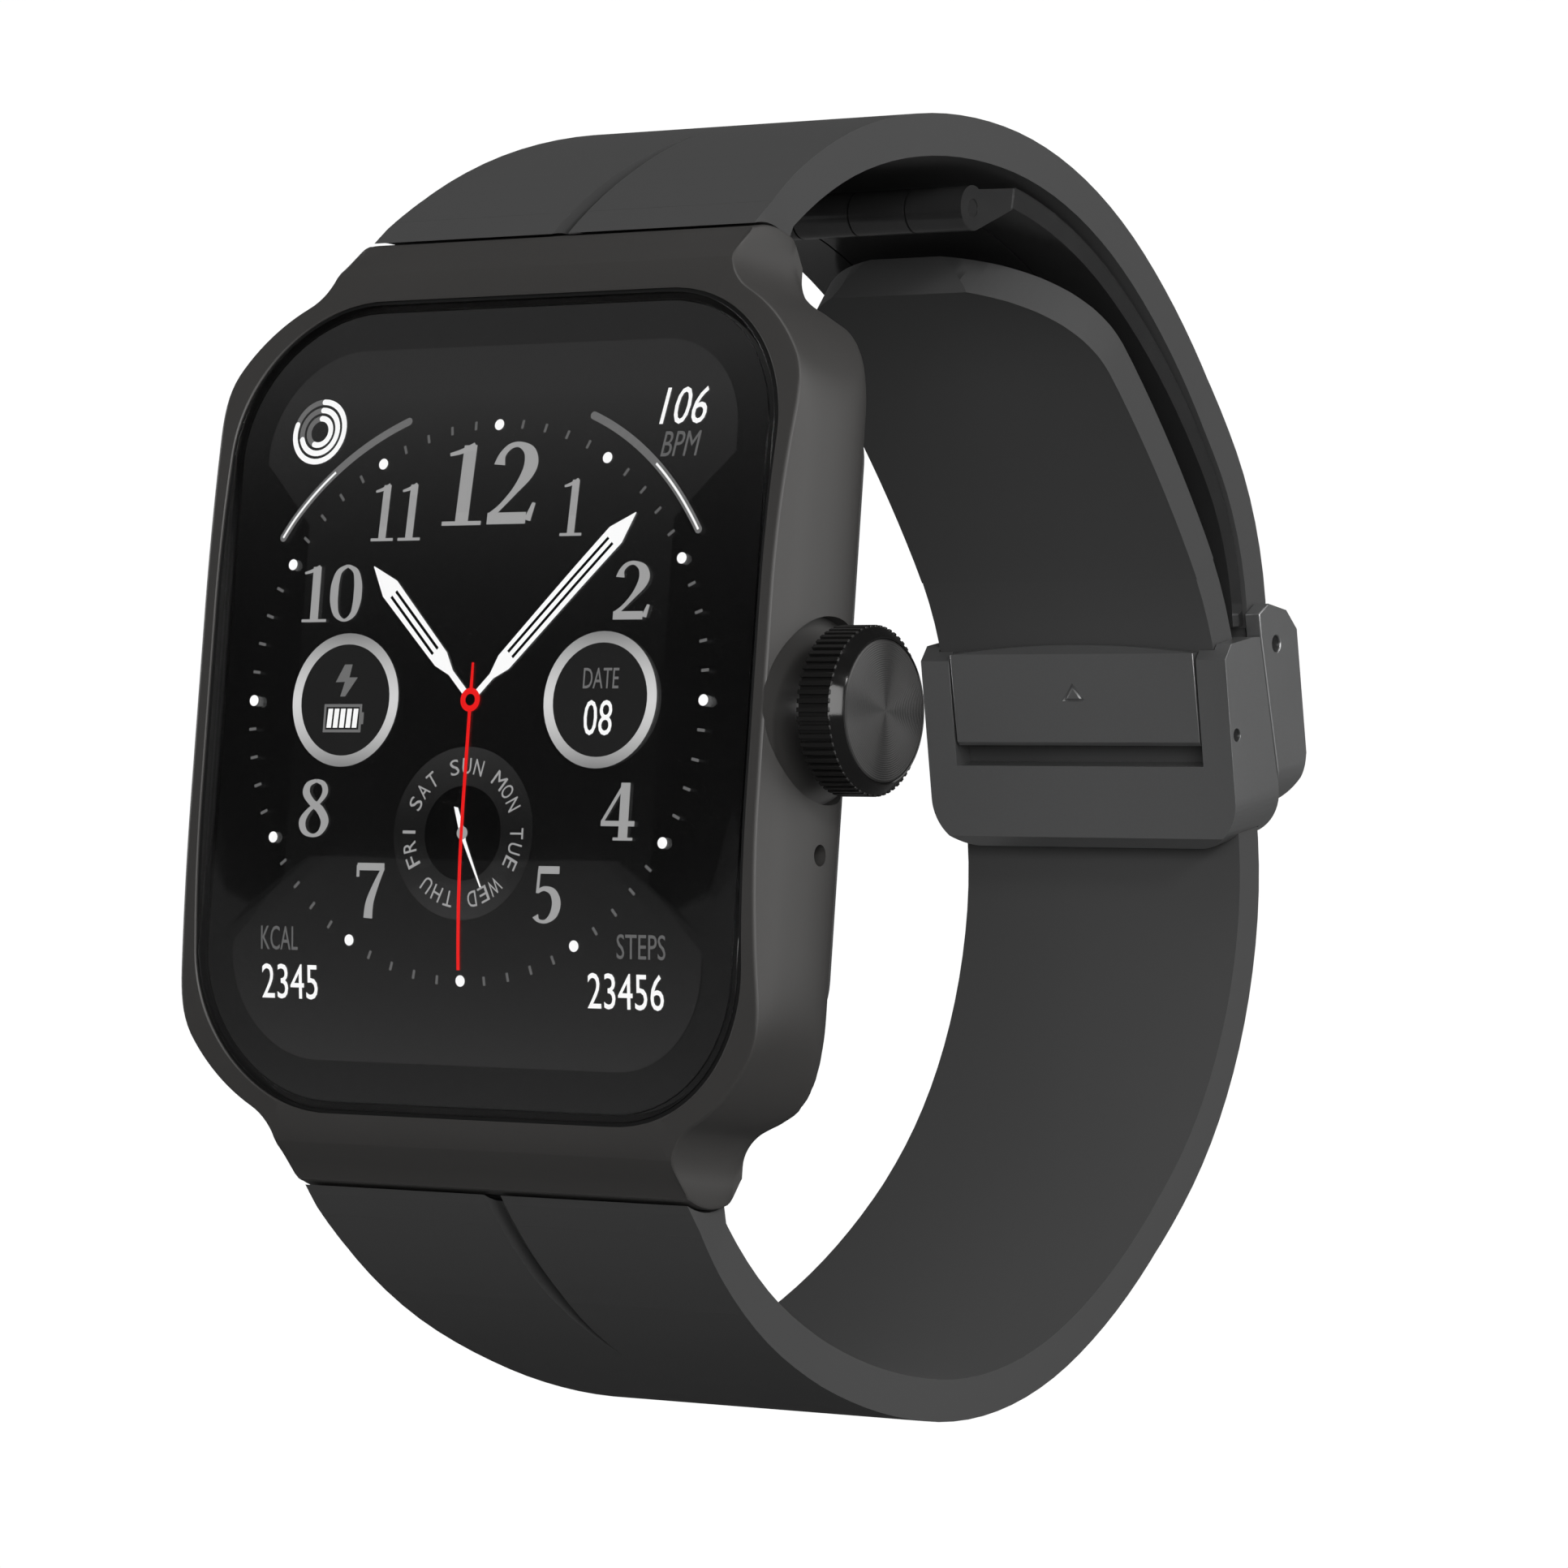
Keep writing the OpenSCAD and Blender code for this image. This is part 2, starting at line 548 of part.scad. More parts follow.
// Clasp blocks, drawn in the clasp frame: u points out of the loop, w points up
module round_block(w, h, lo, r) {
  for (x = [-1, 1]) translate([x * (w / 2 - r), lo + r]) circle(r);
  translate([-w / 2 + r, lo]) square([w - 2 * r, 2 * r]);
  translate([-w / 2, lo + r]) square([w, h - r]);
}
cover_lo = -4.2;
cover_hi = 8.1;
seam = gap;
module seam_edge(d) {
  polygon([[seam_lo + d, block_lo - 3], [seam_lo + d, block_lo], [seam_hi + d, block_hi],
    [seam_hi + d, block_hi + 6], [9, block_hi + 6], [9, block_lo - 3]]);
}
module outer_block() {
  pin = strap_pin_at;
  top = cover_t + seam_lo - 0.35;
  color("#3a3a3b") in_clasp() difference() {
    intersection() {
      along_x(clasp_w) intersection() {
        polygon([[0.6, cover_hi - 0.6], [2.2, cover_hi], [top - 1.1, cover_hi - 0.7], [top, cover_hi - 2],
          [top, -1.4], [top - 0.5, -2.8], [top - 1.8, cover_lo], [0.5, cover_lo]]);
        seam_edge(seam);
      }
      along_y(-3, 9) round_block(clasp_w, cover_hi - cover_lo, cover_lo, 2.4);
    }
    translate([-strap_w2 / 2 - 0.1, 0, pin[1] - 1.4]) cube([strap_w2 + 0.2, pin[0] + 1.4, 8]);
    translate([-strap_w2 / 2 - 0.1, 0, pin[1] + 0.7]) cube([strap_w2 + 0.2, top - 0.9, 8]);
    translate([-30, pin[0], pin[1]]) rotate([0, 90, 0]) cylinder(d = pin_d, h = 60);
    for (x = [-6, 6]) translate([x, 0, -0.6]) rotate([-90, 0, 0]) cylinder(d = magnet_d, h = seam_mid + seam + 0.9);
  }
}
magnet_d = 3;
seam_mid = seam_lo + (seam_hi - seam_lo) * (-0.6 - block_lo) / block_h;
module strap_pin() {
  color("#8f9091") in_clasp() translate([-clasp_w / 2 + 0.15, strap_pin_at[0], strap_pin_at[1]])
    rotate([0, 90, 0]) cylinder(d = pin_d, h = clasp_w - 0.3);
}
module outer_magnets() {
  color("#a9abad") in_clasp() for (x = [-6, 6]) translate([x, seam_mid + seam + 0.25, -0.6]) rotate([-90, 0, 0])
    cylinder(d = magnet_d, h = 0.65);
}
module inner_magnets() {
  color("#a9abad") in_clasp() for (x = [-6, 6]) translate([x, seam_mid - 0.6, -0.6]) rotate([-90, 0, 0])
    cylinder(d = magnet_d, h = 0.5);
}
channel_w = strap_w2 + 2 * 0.1;
latch_lo = latch_pin_at[1] - 0.58;
slot_lo = latch_lo - 1.2;
latch_pin_d = 0.8;
latch_eye = 0.6;                       // radius of the latch's eye
module inner_block() {
  color("#38383a") difference() {
    in_clasp() intersection() {
      along_x(clasp_w) difference() {
        polygon([[face_u - 0.1, block_lo + 0.7], [face_u + 0.5, block_lo], [4, block_lo], [4, block_hi - 0.5],
          [0, block_hi], [face_u + 0.9, block_hi], [face_u + 0.05, block_hi - 0.8]]);
        seam_edge(0);
      }
      along_y(-6, 6) round_block(clasp_w, block_h, block_lo, 3);
    }
    scale([1, 1, -1]) along_x(channel_w) band(start_l, arcs_l, 76, 112, -0.08, strap_t + 0.08);
    in_clasp() {
      translate([-latch_w / 2 - gap, face_u - 1, slot_lo]) cube([latch_w + 2 * gap, 2.9, 12]);
      translate([-clasp_w / 2 - 1, latch_pin_at[0], latch_pin_at[1]]) rotate([0, 90, 0])
        cylinder(d = latch_pin_d, h = clasp_w + 2);
      for (x = [-6, 6]) translate([x, seam_mid - 0.6, -0.6]) rotate([-90, 0, 0])
        cylinder(d = magnet_d, h = 3);
    }
    fork_pads(0);
  }
}
module latch_pin() {
  color("#8f9091") in_clasp() translate([-clasp_w / 2 + 0.1, latch_pin_at[0], latch_pin_at[1]])
    rotate([0, 90, 0]) cylinder(d = latch_pin_d, h = clasp_w - 0.2);
}
module latch() {
  p = latch_pin_at;
  color("#3d3d3f") difference() {
    in_clasp() difference() {
      union() {
        intersection() {
          along_x(latch_w) polygon([[face_u + 0.2, latch_lo], [face_u, latch_lo + 0.25],
            [face_u, block_hi - 0.4], [face_u + 0.3, block_hi + 0.1], [face_u + 1.5, block_hi + 0.1],
            [p[0] + 0.2, p[1] + 0.5], [p[0] + 0.1, latch_lo]]);
          along_y(-6, 2) intersection() {
            translate([0, block_hi + 0.1 - 70]) circle(70, $fn = 360);
            translate([-20, latch_lo]) square([40, 12]);
          }
        }
        translate([-latch_w / 2, p[0], p[1]]) rotate([0, 90, 0]) cylinder(r = latch_eye, h = latch_w);
      }
      translate([-30, p[0], p[1]]) rotate([0, 90, 0]) cylinder(d = latch_pin_d + 2 * fit, h = 60);
      translate([0, face_u + 0.12, 3.6]) rotate([90, 0, 0]) linear_extrude(0.3) difference() {
        polygon([[-0.75, -0.45], [0.75, -0.45], [0, 0.6]]);
        polygon([[-0.5, -0.33], [0.5, -0.33], [0, 0.38]]);
      }
    }
    scale([1, 1, -1]) along_x(30) band(start_l, arcs_l, 76, 112, -0.5, strap_t + 0.12);
  }
}

// Folding blades: a fork fixed to the inner block and a middle blade in it
blade_in = 0.4;                        // distance of the blades from the upper strap's inner face
blade_s0 = 30.6;
blade_s1 = 71.4;
hinge_n = 5;                           // knuckles across the hinge, the outer two on the fork
knuckle_w = hinge_w / hinge_n;
arm_w = knuckle_w - 0.06;
function blade_off() = strap_t + blade_in;
module blade_band(s0, s1) { band(start_u, arcs_u, s0, s1, blade_off(), blade_off() + blade_t); }
module knuckle(i) {
  translate([-hinge_w / 2 + i * knuckle_w + 0.06, hinge_y, hinge_z]) rotate([0, 90, 0])
    cylinder(d = knuckle_d, h = knuckle_w - 0.12);
}
// Joins n knuckles, from number i on, to their blade
module root_web(i, n) {
  b = at(start_u, arcs_u, blade_s0 + 2.2);
  translate([-hinge_w / 2 + (i + n / 2) * knuckle_w, 0, 0]) along_x(n * knuckle_w - 0.12)
    polygon([[hinge_y - 0.2, hinge_z + knuckle_d / 2 - 0.25], side(b, blade_off()),
      side(b, blade_off() + blade_t), [hinge_y + 0.5, hinge_z - knuckle_d / 2 + 0.1]]);
}
module hinge_clear(i) {
  translate([-hinge_w / 2 + i * knuckle_w - 0.06, hinge_y, hinge_z]) rotate([0, 90, 0])
    cylinder(d = knuckle_d + 0.4, h = knuckle_w + 0.12);
}
module hinge_bore(d) {
  translate([-30, hinge_y, hinge_z]) rotate([0, 90, 0]) cylinder(d = d, h = 60);
}
arm_x = hinge_w / 2 - arm_w / 2;
module fork_pads(grow) {
  for (x = [-1, 1]) translate([x * arm_x, 0, 0]) along_x(arm_w + 2 * grow)
    band(start_u, arcs_u, blade_s1 - 6, fork_end, blade_off() - grow, blade_off() + blade_t);
}
fork_end = 73.4;
module fork_blade() {
  color("#2f2f30") difference() {
    union() {
      for (i = [0, 4]) { knuckle(i); root_web(i, 1); }
      for (x = [-1, 1]) translate([x * arm_x, 0, 0]) along_x(arm_w) blade_band(blade_s0 + 2, fork_end);
      along_x(hinge_w) blade_band(blade_s1 + 0.5, fork_end);
    }
    for (i = [1, 2, 3]) hinge_clear(i);
    hinge_bore(pin_d);
  }
}
module middle_blade() {
  w = hinge_w - 2 * arm_w - 2 * gap;
  color("#333334") difference() {
    union() {
      for (i = [1, 2, 3]) knuckle(i);
      root_web(1, 3);
      along_x(w) blade_band(blade_s0 + 2, blade_s1);
    }
    for (i = [0, 4]) hinge_clear(i);
    hinge_bore(pin_d + 2 * fit);
    for (x = [-1, 1]) translate([x * (blade_w / 2 + 5), 0, 0]) along_x(10)
      band(start_u, arcs_u, blade_s1 - 3.5, blade_s1 + 2, -1, blade_off() + blade_t + 2);
  }
}
module fold_pin() {
  color("#8f9091") translate([-hinge_w / 2 + 0.1, hinge_y, hinge_z]) rotate([0, 90, 0])
    cylinder(d = pin_d, h = hinge_w - 0.2);
}

placed() case();
placed() cover_glass();
placed() glass_gasket();
placed() display_panel();
placed() display_bracket();
placed() battery();
placed() main_board();
placed() shield_can();
placed() vibration_motor();
placed() speaker();
placed() microphone();
placed() sensor_board();
placed() sensor_leds();
placed() back_cover();
placed() back_gasket();
placed() sensor_window();
placed() charge_contacts();
placed() back_screws();
placed() crown_tube();
placed() crown_switch();
placed() crown_stem();
placed() crown_head();
placed() crown_cap();
placed() spring_bar_upper();
placed() spring_bar_lower();
placed() strap_upper();
placed() strap_lower();
placed() outer_block();
placed() strap_pin();
placed() outer_magnets();
placed() inner_block();
placed() inner_magnets();
placed() latch();
placed() latch_pin();
placed() fork_blade();
placed() middle_blade();
placed() fold_pin();
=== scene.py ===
"""Looks of a square smartwatch on a two-piece rubber strap with a folding clasp.

X runs to the crown, Z up to 12 o'clock and the dial faces -Y. Sizes here are in
millimetres. Shapes are drawn with y = 0 in the plane of the end bars' front edges,
and Place turns them into metres in the frame.
"""

import json
import logging
import math
from dataclasses import dataclass, field
from enum import Enum
from typing import Callable, Sequence

import bmesh
import bpy
from mathutils import Matrix, Vector


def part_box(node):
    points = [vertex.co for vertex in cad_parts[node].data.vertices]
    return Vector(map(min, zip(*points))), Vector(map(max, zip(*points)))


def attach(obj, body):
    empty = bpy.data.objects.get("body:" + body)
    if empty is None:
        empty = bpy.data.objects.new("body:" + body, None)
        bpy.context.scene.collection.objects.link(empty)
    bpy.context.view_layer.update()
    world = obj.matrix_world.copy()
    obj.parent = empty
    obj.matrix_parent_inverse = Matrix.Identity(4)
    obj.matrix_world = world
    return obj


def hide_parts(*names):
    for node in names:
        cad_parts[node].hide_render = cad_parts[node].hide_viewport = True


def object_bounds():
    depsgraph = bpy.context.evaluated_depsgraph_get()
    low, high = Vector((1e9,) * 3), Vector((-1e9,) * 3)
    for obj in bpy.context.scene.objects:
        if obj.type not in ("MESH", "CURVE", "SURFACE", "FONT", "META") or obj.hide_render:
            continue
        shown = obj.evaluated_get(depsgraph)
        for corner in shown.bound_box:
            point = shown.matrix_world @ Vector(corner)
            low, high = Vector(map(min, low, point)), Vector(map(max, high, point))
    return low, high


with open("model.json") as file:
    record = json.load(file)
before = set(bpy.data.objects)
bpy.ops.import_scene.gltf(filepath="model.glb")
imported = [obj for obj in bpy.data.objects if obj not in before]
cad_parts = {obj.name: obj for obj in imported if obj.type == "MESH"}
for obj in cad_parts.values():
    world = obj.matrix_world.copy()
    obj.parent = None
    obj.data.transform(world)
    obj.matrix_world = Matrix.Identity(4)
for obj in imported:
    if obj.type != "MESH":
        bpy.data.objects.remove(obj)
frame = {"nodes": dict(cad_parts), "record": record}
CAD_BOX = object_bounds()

log = logging.getLogger("smartwatch")
MM = 0.001
Point2 = tuple[float, float]
Point3 = tuple[float, float, float]
Colour = tuple[float, float, float]
Face = tuple[int, ...]
# A place of the case's outline: x, z, outward normal in x and z, and 1 on the side walls
Row = tuple[float, float, float, float, float]


# ---------------------------------------------------------------- places and meshes
@dataclass(frozen=True)
class Dome:
    """The domed front, flat in the middle and round towards both end bars."""

    rise: float = 2.43
    flat: float = 10.0
    edge_z: float = 23.0

    def radius(self) -> float:
        """Radius of the round stretches."""
        run = self.edge_z - self.flat / 2
        return (run * run + self.rise * self.rise) / (2 * self.rise)

    def y(self, z: float) -> float:
        """Height of the front at z."""
        r = self.radius()
        a = min(max(0.0, abs(z) - self.flat / 2), r)
        return -self.rise + r - math.sqrt(r * r - a * a)


DOME = Dome()
DRAWN_TO_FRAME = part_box("case")[0].y / MM + DOME.rise


def place(p: Sequence[float]) -> Vector:
    """A drawn point in millimetres as a point of the frame in metres."""
    return Vector((p[0], p[1] + DRAWN_TO_FRAME, p[2])) * MM


def make_object(name: str, verts: Sequence[Sequence[float]], faces: Sequence[Sequence[int]],
                finish: "Finish", smooth: float = 35.0) -> bpy.types.Object:
    """A new object with its faces turned outwards.

    Args:
        name: the piece's name.
        verts: drawn points in millimetres.
        faces: rows of indices into verts.
        finish: what it is made of.
        smooth: edges sharper than this many degrees stay sharp.

    Returns:
        The object, linked to the scene.
    """
    mesh = bpy.data.meshes.new(name)
    mesh.from_pydata([place(v) for v in verts], [], [tuple(f) for f in faces])
    bm = bmesh.new()
    bm.from_mesh(mesh)
    bmesh.ops.remove_doubles(bm, verts=bm.verts, dist=1e-7)
    bmesh.ops.recalc_face_normals(bm, faces=bm.faces)
    bm.to_mesh(mesh)
    bm.free()
    return finish_mesh(name, mesh, finish, smooth)


def finish_mesh(name: str, mesh: bpy.types.Mesh, finish: "Finish", smooth: float = 35.0) -> bpy.types.Object:
    """Shades a mesh and makes a scene object for it.

    Args:
        name: the object's name.
        mesh: the mesh.
        finish: what it is made of.
        smooth: edges sharper than this many degrees stay sharp.

    Returns:
        The object, linked to the scene.
    """
    mesh.shade_smooth()
    mesh.set_sharp_from_angle(angle=math.radians(smooth))
    mesh.materials.clear()
    mesh.materials.append(finish.material())
    obj = bpy.data.objects.new(name, mesh)
    bpy.context.scene.collection.objects.link(obj)
    return obj


def applied(obj: bpy.types.Object) -> bpy.types.Mesh:
    """The object's mesh with its modifiers applied."""
    dg = bpy.context.evaluated_depsgraph_get()
    return bpy.data.meshes.new_from_object(obj.evaluated_get(dg), depsgraph=dg)


def soften(node: str, name: str, width: float, finish: "Finish", angle: float = 32.0) -> bpy.types.Object:
    """A copy of a CAD node with merged faces and rounded edges, standing for that node.

    Args:
        node: the CAD node.
        name: the new piece's name.
        width: width of the rounding in millimetres.
        finish: what it is made of.
        angle: edges flatter than this many degrees aren't rounded.

    Returns:
        The piece, riding on the node's body.
    """
    mesh = frame["nodes"][node].data.copy()
    bm = bmesh.new()
    bm.from_mesh(mesh)
    bmesh.ops.remove_doubles(bm, verts=bm.verts, dist=2e-6)
    bmesh.ops.dissolve_degenerate(bm, dist=2e-6, edges=bm.edges)
    bmesh.ops.dissolve_limit(bm, angle_limit=math.radians(0.7), verts=bm.verts, edges=bm.edges)
    bm.to_mesh(mesh)
    bm.free()
    obj = finish_mesh(name, mesh, finish)
    bevel = obj.modifiers.new("round", "BEVEL")
    bevel.width = width * MM
    bevel.segments = 3
    bevel.limit_method = "ANGLE"
    bevel.angle_limit = math.radians(angle)
    weighted = obj.modifiers.new("shade", "WEIGHTED_NORMAL")
    weighted.keep_sharp = True
    rounded = applied(obj)
    obj.modifiers.clear()
    obj.data = rounded
    rounded.materials.clear()
    rounded.materials.append(finish.material())
    rounded.name = name
    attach(obj, body_of_node(node))
    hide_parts(node)
    log.info("%s stands for %s: %d faces", name, node, len(rounded.polygons))
    return obj


def body_of_node(node: str) -> str:
    """Name of the body that a CAD node rides on."""
    for body, facts in frame["record"]["behaviour"]["bodies"].items():
        if node in (facts["nodes"] if isinstance(facts, dict) else facts):
            return body
    raise KeyError(node)


# ---------------------------------------------------------------- finishes
def new_group(name: str, inputs: Sequence[tuple], outputs: Sequence[tuple[str, str]]) -> bpy.types.NodeTree:
    """A shader node group with named sockets, or the one already made.

    Args:
        name: the group's name.
        inputs: rows of socket name, socket type and default.
        outputs: rows of socket name and socket type.

    Returns:
        The group, with its Group Input and Group Output nodes named "in" and "out".
    """
    tree = bpy.data.node_groups.new(name, "ShaderNodeTree")
    for label, kind, default in inputs:
        socket = tree.interface.new_socket(label, in_out="INPUT", socket_type=kind)
        socket.default_value = default
    for label, kind in outputs:
        tree.interface.new_socket(label, in_out="OUTPUT", socket_type=kind)
    tree.nodes.new("NodeGroupInput").name = "in"
    tree.nodes.new("NodeGroupOutput").name = "out"
    return tree


class NodeBench:
    """Short ways to add and join nodes in one tree."""

    def __init__(self, tree: bpy.types.NodeTree) -> None:
        """Works on this tree."""
        self.tree = tree

    def add(self, kind: str, **values: object) -> bpy.types.Node:
        """A new node. Keys that are sockets set or link them, the others set properties."""
        node = self.tree.nodes.new(kind)
        sockets = {}
        for key, value in values.items():
            if key.startswith("i_"):
                sockets[key[2:]] = value
            else:
                setattr(node, key, value)
        for key, value in sockets.items():
            socket = node.inputs[int(key)] if key.isdigit() else node.inputs[key.replace("_", " ")]
            if isinstance(value, bpy.types.NodeSocket):
                self.tree.links.new(value, socket)
            else:
                socket.default_value = value
        return node

    def math(self, operation: str, a: object, b: object = 0.0) -> bpy.types.NodeSocket:
        """The result of one sum on two values."""
        return self.add("ShaderNodeMath", operation=operation, i_0=a, i_1=b).outputs[0]

    def link(self, source: bpy.types.NodeSocket, target: bpy.types.NodeSocket) -> None:
        """Joins two sockets."""
        self.tree.links.new(source, target)


def new_material(name: str) -> tuple[bpy.types.Material, NodeBench, bpy.types.Node]:
    """A new material.

    Args:
        name: its name.

    Returns:
        The material, a bench for its nodes and its main shader.
    """
    made = bpy.data.materials.new(name)
    made.use_nodes = True
    return made, NodeBench(made.node_tree), made.node_tree.nodes["Principled BSDF"]


def grain_group() -> bpy.types.NodeTree:
    """Fine grain: a mottled colour, a varied roughness and a bumped normal."""
    if "fine_grain" in bpy.data.node_groups:
        return bpy.data.node_groups["fine_grain"]
    tree = new_group(
        "fine_grain",
        [("Colour", "NodeSocketColor", (0.05, 0.05, 0.05, 1)),
         ("Tint", "NodeSocketColor", (0.06, 0.06, 0.06, 1)),
         ("Grains per mm", "NodeSocketFloat", 4.0), ("Roughness", "NodeSocketFloat", 0.5),
         ("Spread", "NodeSocketFloat", 0.05), ("Height", "NodeSocketFloat", 0.1),
         ("Stretch", "NodeSocketVector", (1.0, 1.0, 1.0))],
        [("Colour", "NodeSocketColor"), ("Roughness", "NodeSocketFloat"), ("Normal", "NodeSocketVector")])
    bench = NodeBench(tree)
    given, out = tree.nodes["in"], tree.nodes["out"]
    coords = bench.add("ShaderNodeTexCoord").outputs["Object"]
    stretched = bench.add("ShaderNodeVectorMath", operation="MULTIPLY", i_0=coords,
                          i_1=given.outputs["Stretch"])
    per_m = bench.math("MULTIPLY", given.outputs["Grains per mm"], 1 / MM)
    fine = bench.add("ShaderNodeTexNoise", i_Vector=stretched.outputs[0], i_Scale=per_m, i_Detail=3.0)
    slow = bench.add("ShaderNodeTexNoise", i_Vector=coords, i_Scale=90.0, i_Detail=2.0)
    mixed = bench.math("ADD", bench.math("MULTIPLY", fine.outputs[0], 0.55),
                       bench.math("MULTIPLY", slow.outputs[0], 0.45))
    colour = bench.add("ShaderNodeMix", data_type="RGBA")
    bench.link(mixed, colour.inputs[0])
    bench.link(given.outputs["Colour"], colour.inputs[6])
    bench.link(given.outputs["Tint"], colour.inputs[7])
    centred = bench.math("SUBTRACT", mixed, 0.5)
    rough = bench.math("ADD", given.outputs["Roughness"],
                       bench.math("MULTIPLY", centred, bench.math("MULTIPLY", given.outputs["Spread"], 2.0)))
    bump = bench.add("ShaderNodeBump", i_Height=fine.outputs[0], i_Strength=given.outputs["Height"],
                     i_Distance=0.02 * MM)
    bench.link(colour.outputs[2], out.inputs["Colour"])
    bench.link(rough, out.inputs["Roughness"])
    bench.link(bump.outputs[0], out.inputs["Normal"])
    return tree


@dataclass(frozen=True)
class Finish:
    """A finish with fine grain. Colours are linear."""

    name: str
    colour: Colour
    tint: Colour
    rough: float = 0.5
    spread: float = 0.05
    metal: float = 0.0
    grains: float = 4.0
    height: float = 0.1
    stretch: Colour = (1.0, 1.0, 1.0)
    specular: float = 0.5
    coat: float = 0.0
    sheen: float = 0.0

    def material(self) -> bpy.types.Material:
        """The material, made once."""
        made = bpy.data.materials.get(self.name)
        if made is None:
            made, bench, shader = new_material(self.name)
            self.dress(bench, shader)
        return made

    def dress(self, bench: NodeBench, shader: bpy.types.Node) -> None:
        """Sets the shader up: plain numbers on its own sockets, varying ones from the group."""
        group = bench.add("ShaderNodeGroup", node_tree=grain_group())
        group.inputs["Colour"].default_value = (*self.colour, 1)
        group.inputs["Tint"].default_value = (*self.tint, 1)
        group.inputs["Grains per mm"].default_value = self.grains
        group.inputs["Roughness"].default_value = self.rough
        group.inputs["Spread"].default_value = self.spread
        group.inputs["Height"].default_value = self.height
        group.inputs["Stretch"].default_value = self.stretch
        self.join(bench, group, shader)

    def join(self, bench: NodeBench, group: bpy.types.Node, shader: bpy.types.Node) -> None:
        """Links the grain to the shader and sets its plain numbers."""
        bench.link(group.outputs["Colour"], shader.inputs["Base Color"])
        bench.link(group.outputs["Roughness"], shader.inputs["Roughness"])
        bench.link(group.outputs["Normal"], shader.inputs["Normal"])
        shader.inputs["Metallic"].default_value = self.metal
        shader.inputs["Specular IOR Level"].default_value = self.specular
        shader.inputs["Coat Weight"].default_value = self.coat
        shader.inputs["Coat Roughness"].default_value = 0.08
        shader.inputs["Sheen Weight"].default_value = self.sheen


@dataclass(frozen=True)
class TurnedPaintedSheenFinish(Finish):
    """A face turned on a lathe about the crown's axis: fine rings, and a sheen painted into the colour as four
    darker rays.
    """

    centre: tuple[float, float] = (2.3, 0.0)
    rays: float = 4.0

    def join(self, bench: NodeBench, group: bpy.types.Node, shader: bpy.types.Node) -> None:
        """Adds the painted sheen to the colour, darker along the rays, and the rings to the normal."""
        super().join(bench, group, shader)
        coords = bench.add("ShaderNodeTexCoord").outputs["Object"]
        middle = place((0.0, *self.centre))
        away = bench.add("ShaderNodeVectorMath", operation="SUBTRACT", i_0=coords,
                         i_1=(0.0, middle.y, middle.z))
        parts = bench.add("ShaderNodeSeparateXYZ", i_0=away.outputs[0])
        angle = bench.math("ARCTAN2", parts.outputs[2], parts.outputs[1])
        # Painted sheen: the colour turns darker along four rays from the middle, standing in for the turned face's
        # reflection.
        painted_sheen_wave = bench.math("COSINE", bench.math("MULTIPLY", angle, self.rays))
        narrow = bench.math("POWER", bench.math("MULTIPLY", bench.math("ADD", painted_sheen_wave, 1.0), 0.5), 3.0)
        radius = bench.math("SQRT", bench.math("ADD", bench.math("POWER", parts.outputs[1], 2.0),
                                               bench.math("POWER", parts.outputs[2], 2.0)))
        streak = bench.add("ShaderNodeTexNoise", noise_dimensions="1D",
                           i_W=bench.math("MULTIPLY", angle, 60.0), i_Scale=1.0, i_Detail=2.0)
        level = bench.math("ADD", bench.math("MULTIPLY", narrow, 0.75),
                           bench.math("MULTIPLY", streak.outputs[0], 0.25))
        mix = bench.add("ShaderNodeMix", data_type="RGBA")
        bench.link(level, mix.inputs[0])
        mix.inputs[6].default_value = (*self.colour, 1)
        mix.inputs[7].default_value = (*self.tint, 1)
        bench.link(mix.outputs[2], shader.inputs["Base Color"])
        rings = bench.math("SINE", bench.math("MULTIPLY", radius, 2 * math.pi * self.grains / MM))
        bump = bench.add("ShaderNodeBump", i_Height=rings, i_Strength=self.height, i_Distance=0.01 * MM)
        bench.link(bump.outputs[0], shader.inputs["Normal"])


@dataclass(frozen=True)
class BoardFinish(Finish):
    """Green solder mask with copper tracks under it."""

    def join(self, bench: NodeBench, group: bpy.types.Node, shader: bpy.types.Node) -> None:
        """Adds the tracks to the colour."""
        super().join(bench, group, shader)
        coords = bench.add("ShaderNodeTexCoord").outputs["Object"]
        tracks = bench.add("ShaderNodeTexBrick", i_Vector=coords, i_Scale=300.0)
        tracks.inputs["Color1"].default_value = (*self.colour, 1)
        tracks.inputs["Color2"].default_value = (*[c * 0.8 for c in self.colour], 1)
        tracks.inputs["Mortar"].default_value = (*self.tint, 1)
        bench.link(tracks.outputs["Color"], shader.inputs["Base Color"])


@dataclass(frozen=True)
class Lit:
    """Part of the display that gives light. The display's black border uses it too, and there the glow is painted
    light. The level runs from middle to end along z.
    """

    name: str
    colour: Colour
    end_colour: Colour | None = None
    half_height: float = 18.7
    centre_z: float = 0.0
    power: float = 2.0
    rough: float = 0.12

    def material(self) -> bpy.types.Material:
        """The material, made once."""
        made = bpy.data.materials.get(self.name)
        if made is None:
            made, bench, shader = new_material(self.name)
            shader.inputs["Base Color"].default_value = (0.004, 0.004, 0.004, 1)
            shader.inputs["Roughness"].default_value = self.rough
            shader.inputs["Emission Strength"].default_value = 1.0
            coords = bench.add("ShaderNodeTexCoord").outputs["Object"]
            z = bench.add("ShaderNodeSeparateXYZ", i_0=coords).outputs[2]
            away = bench.math("DIVIDE", bench.math("SUBTRACT", z, self.centre_z * MM), self.half_height * MM)
            level = bench.math("MINIMUM", bench.math("POWER", bench.math("ABSOLUTE", away), self.power), 1.0)
            mix = bench.add("ShaderNodeMix", data_type="RGBA")
            bench.link(level, mix.inputs[0])
            mix.inputs[6].default_value = (*self.colour, 1)
            mix.inputs[7].default_value = (*(self.end_colour or self.colour), 1)
            bench.link(mix.outputs[2], shader.inputs["Emission Color"])
        return made


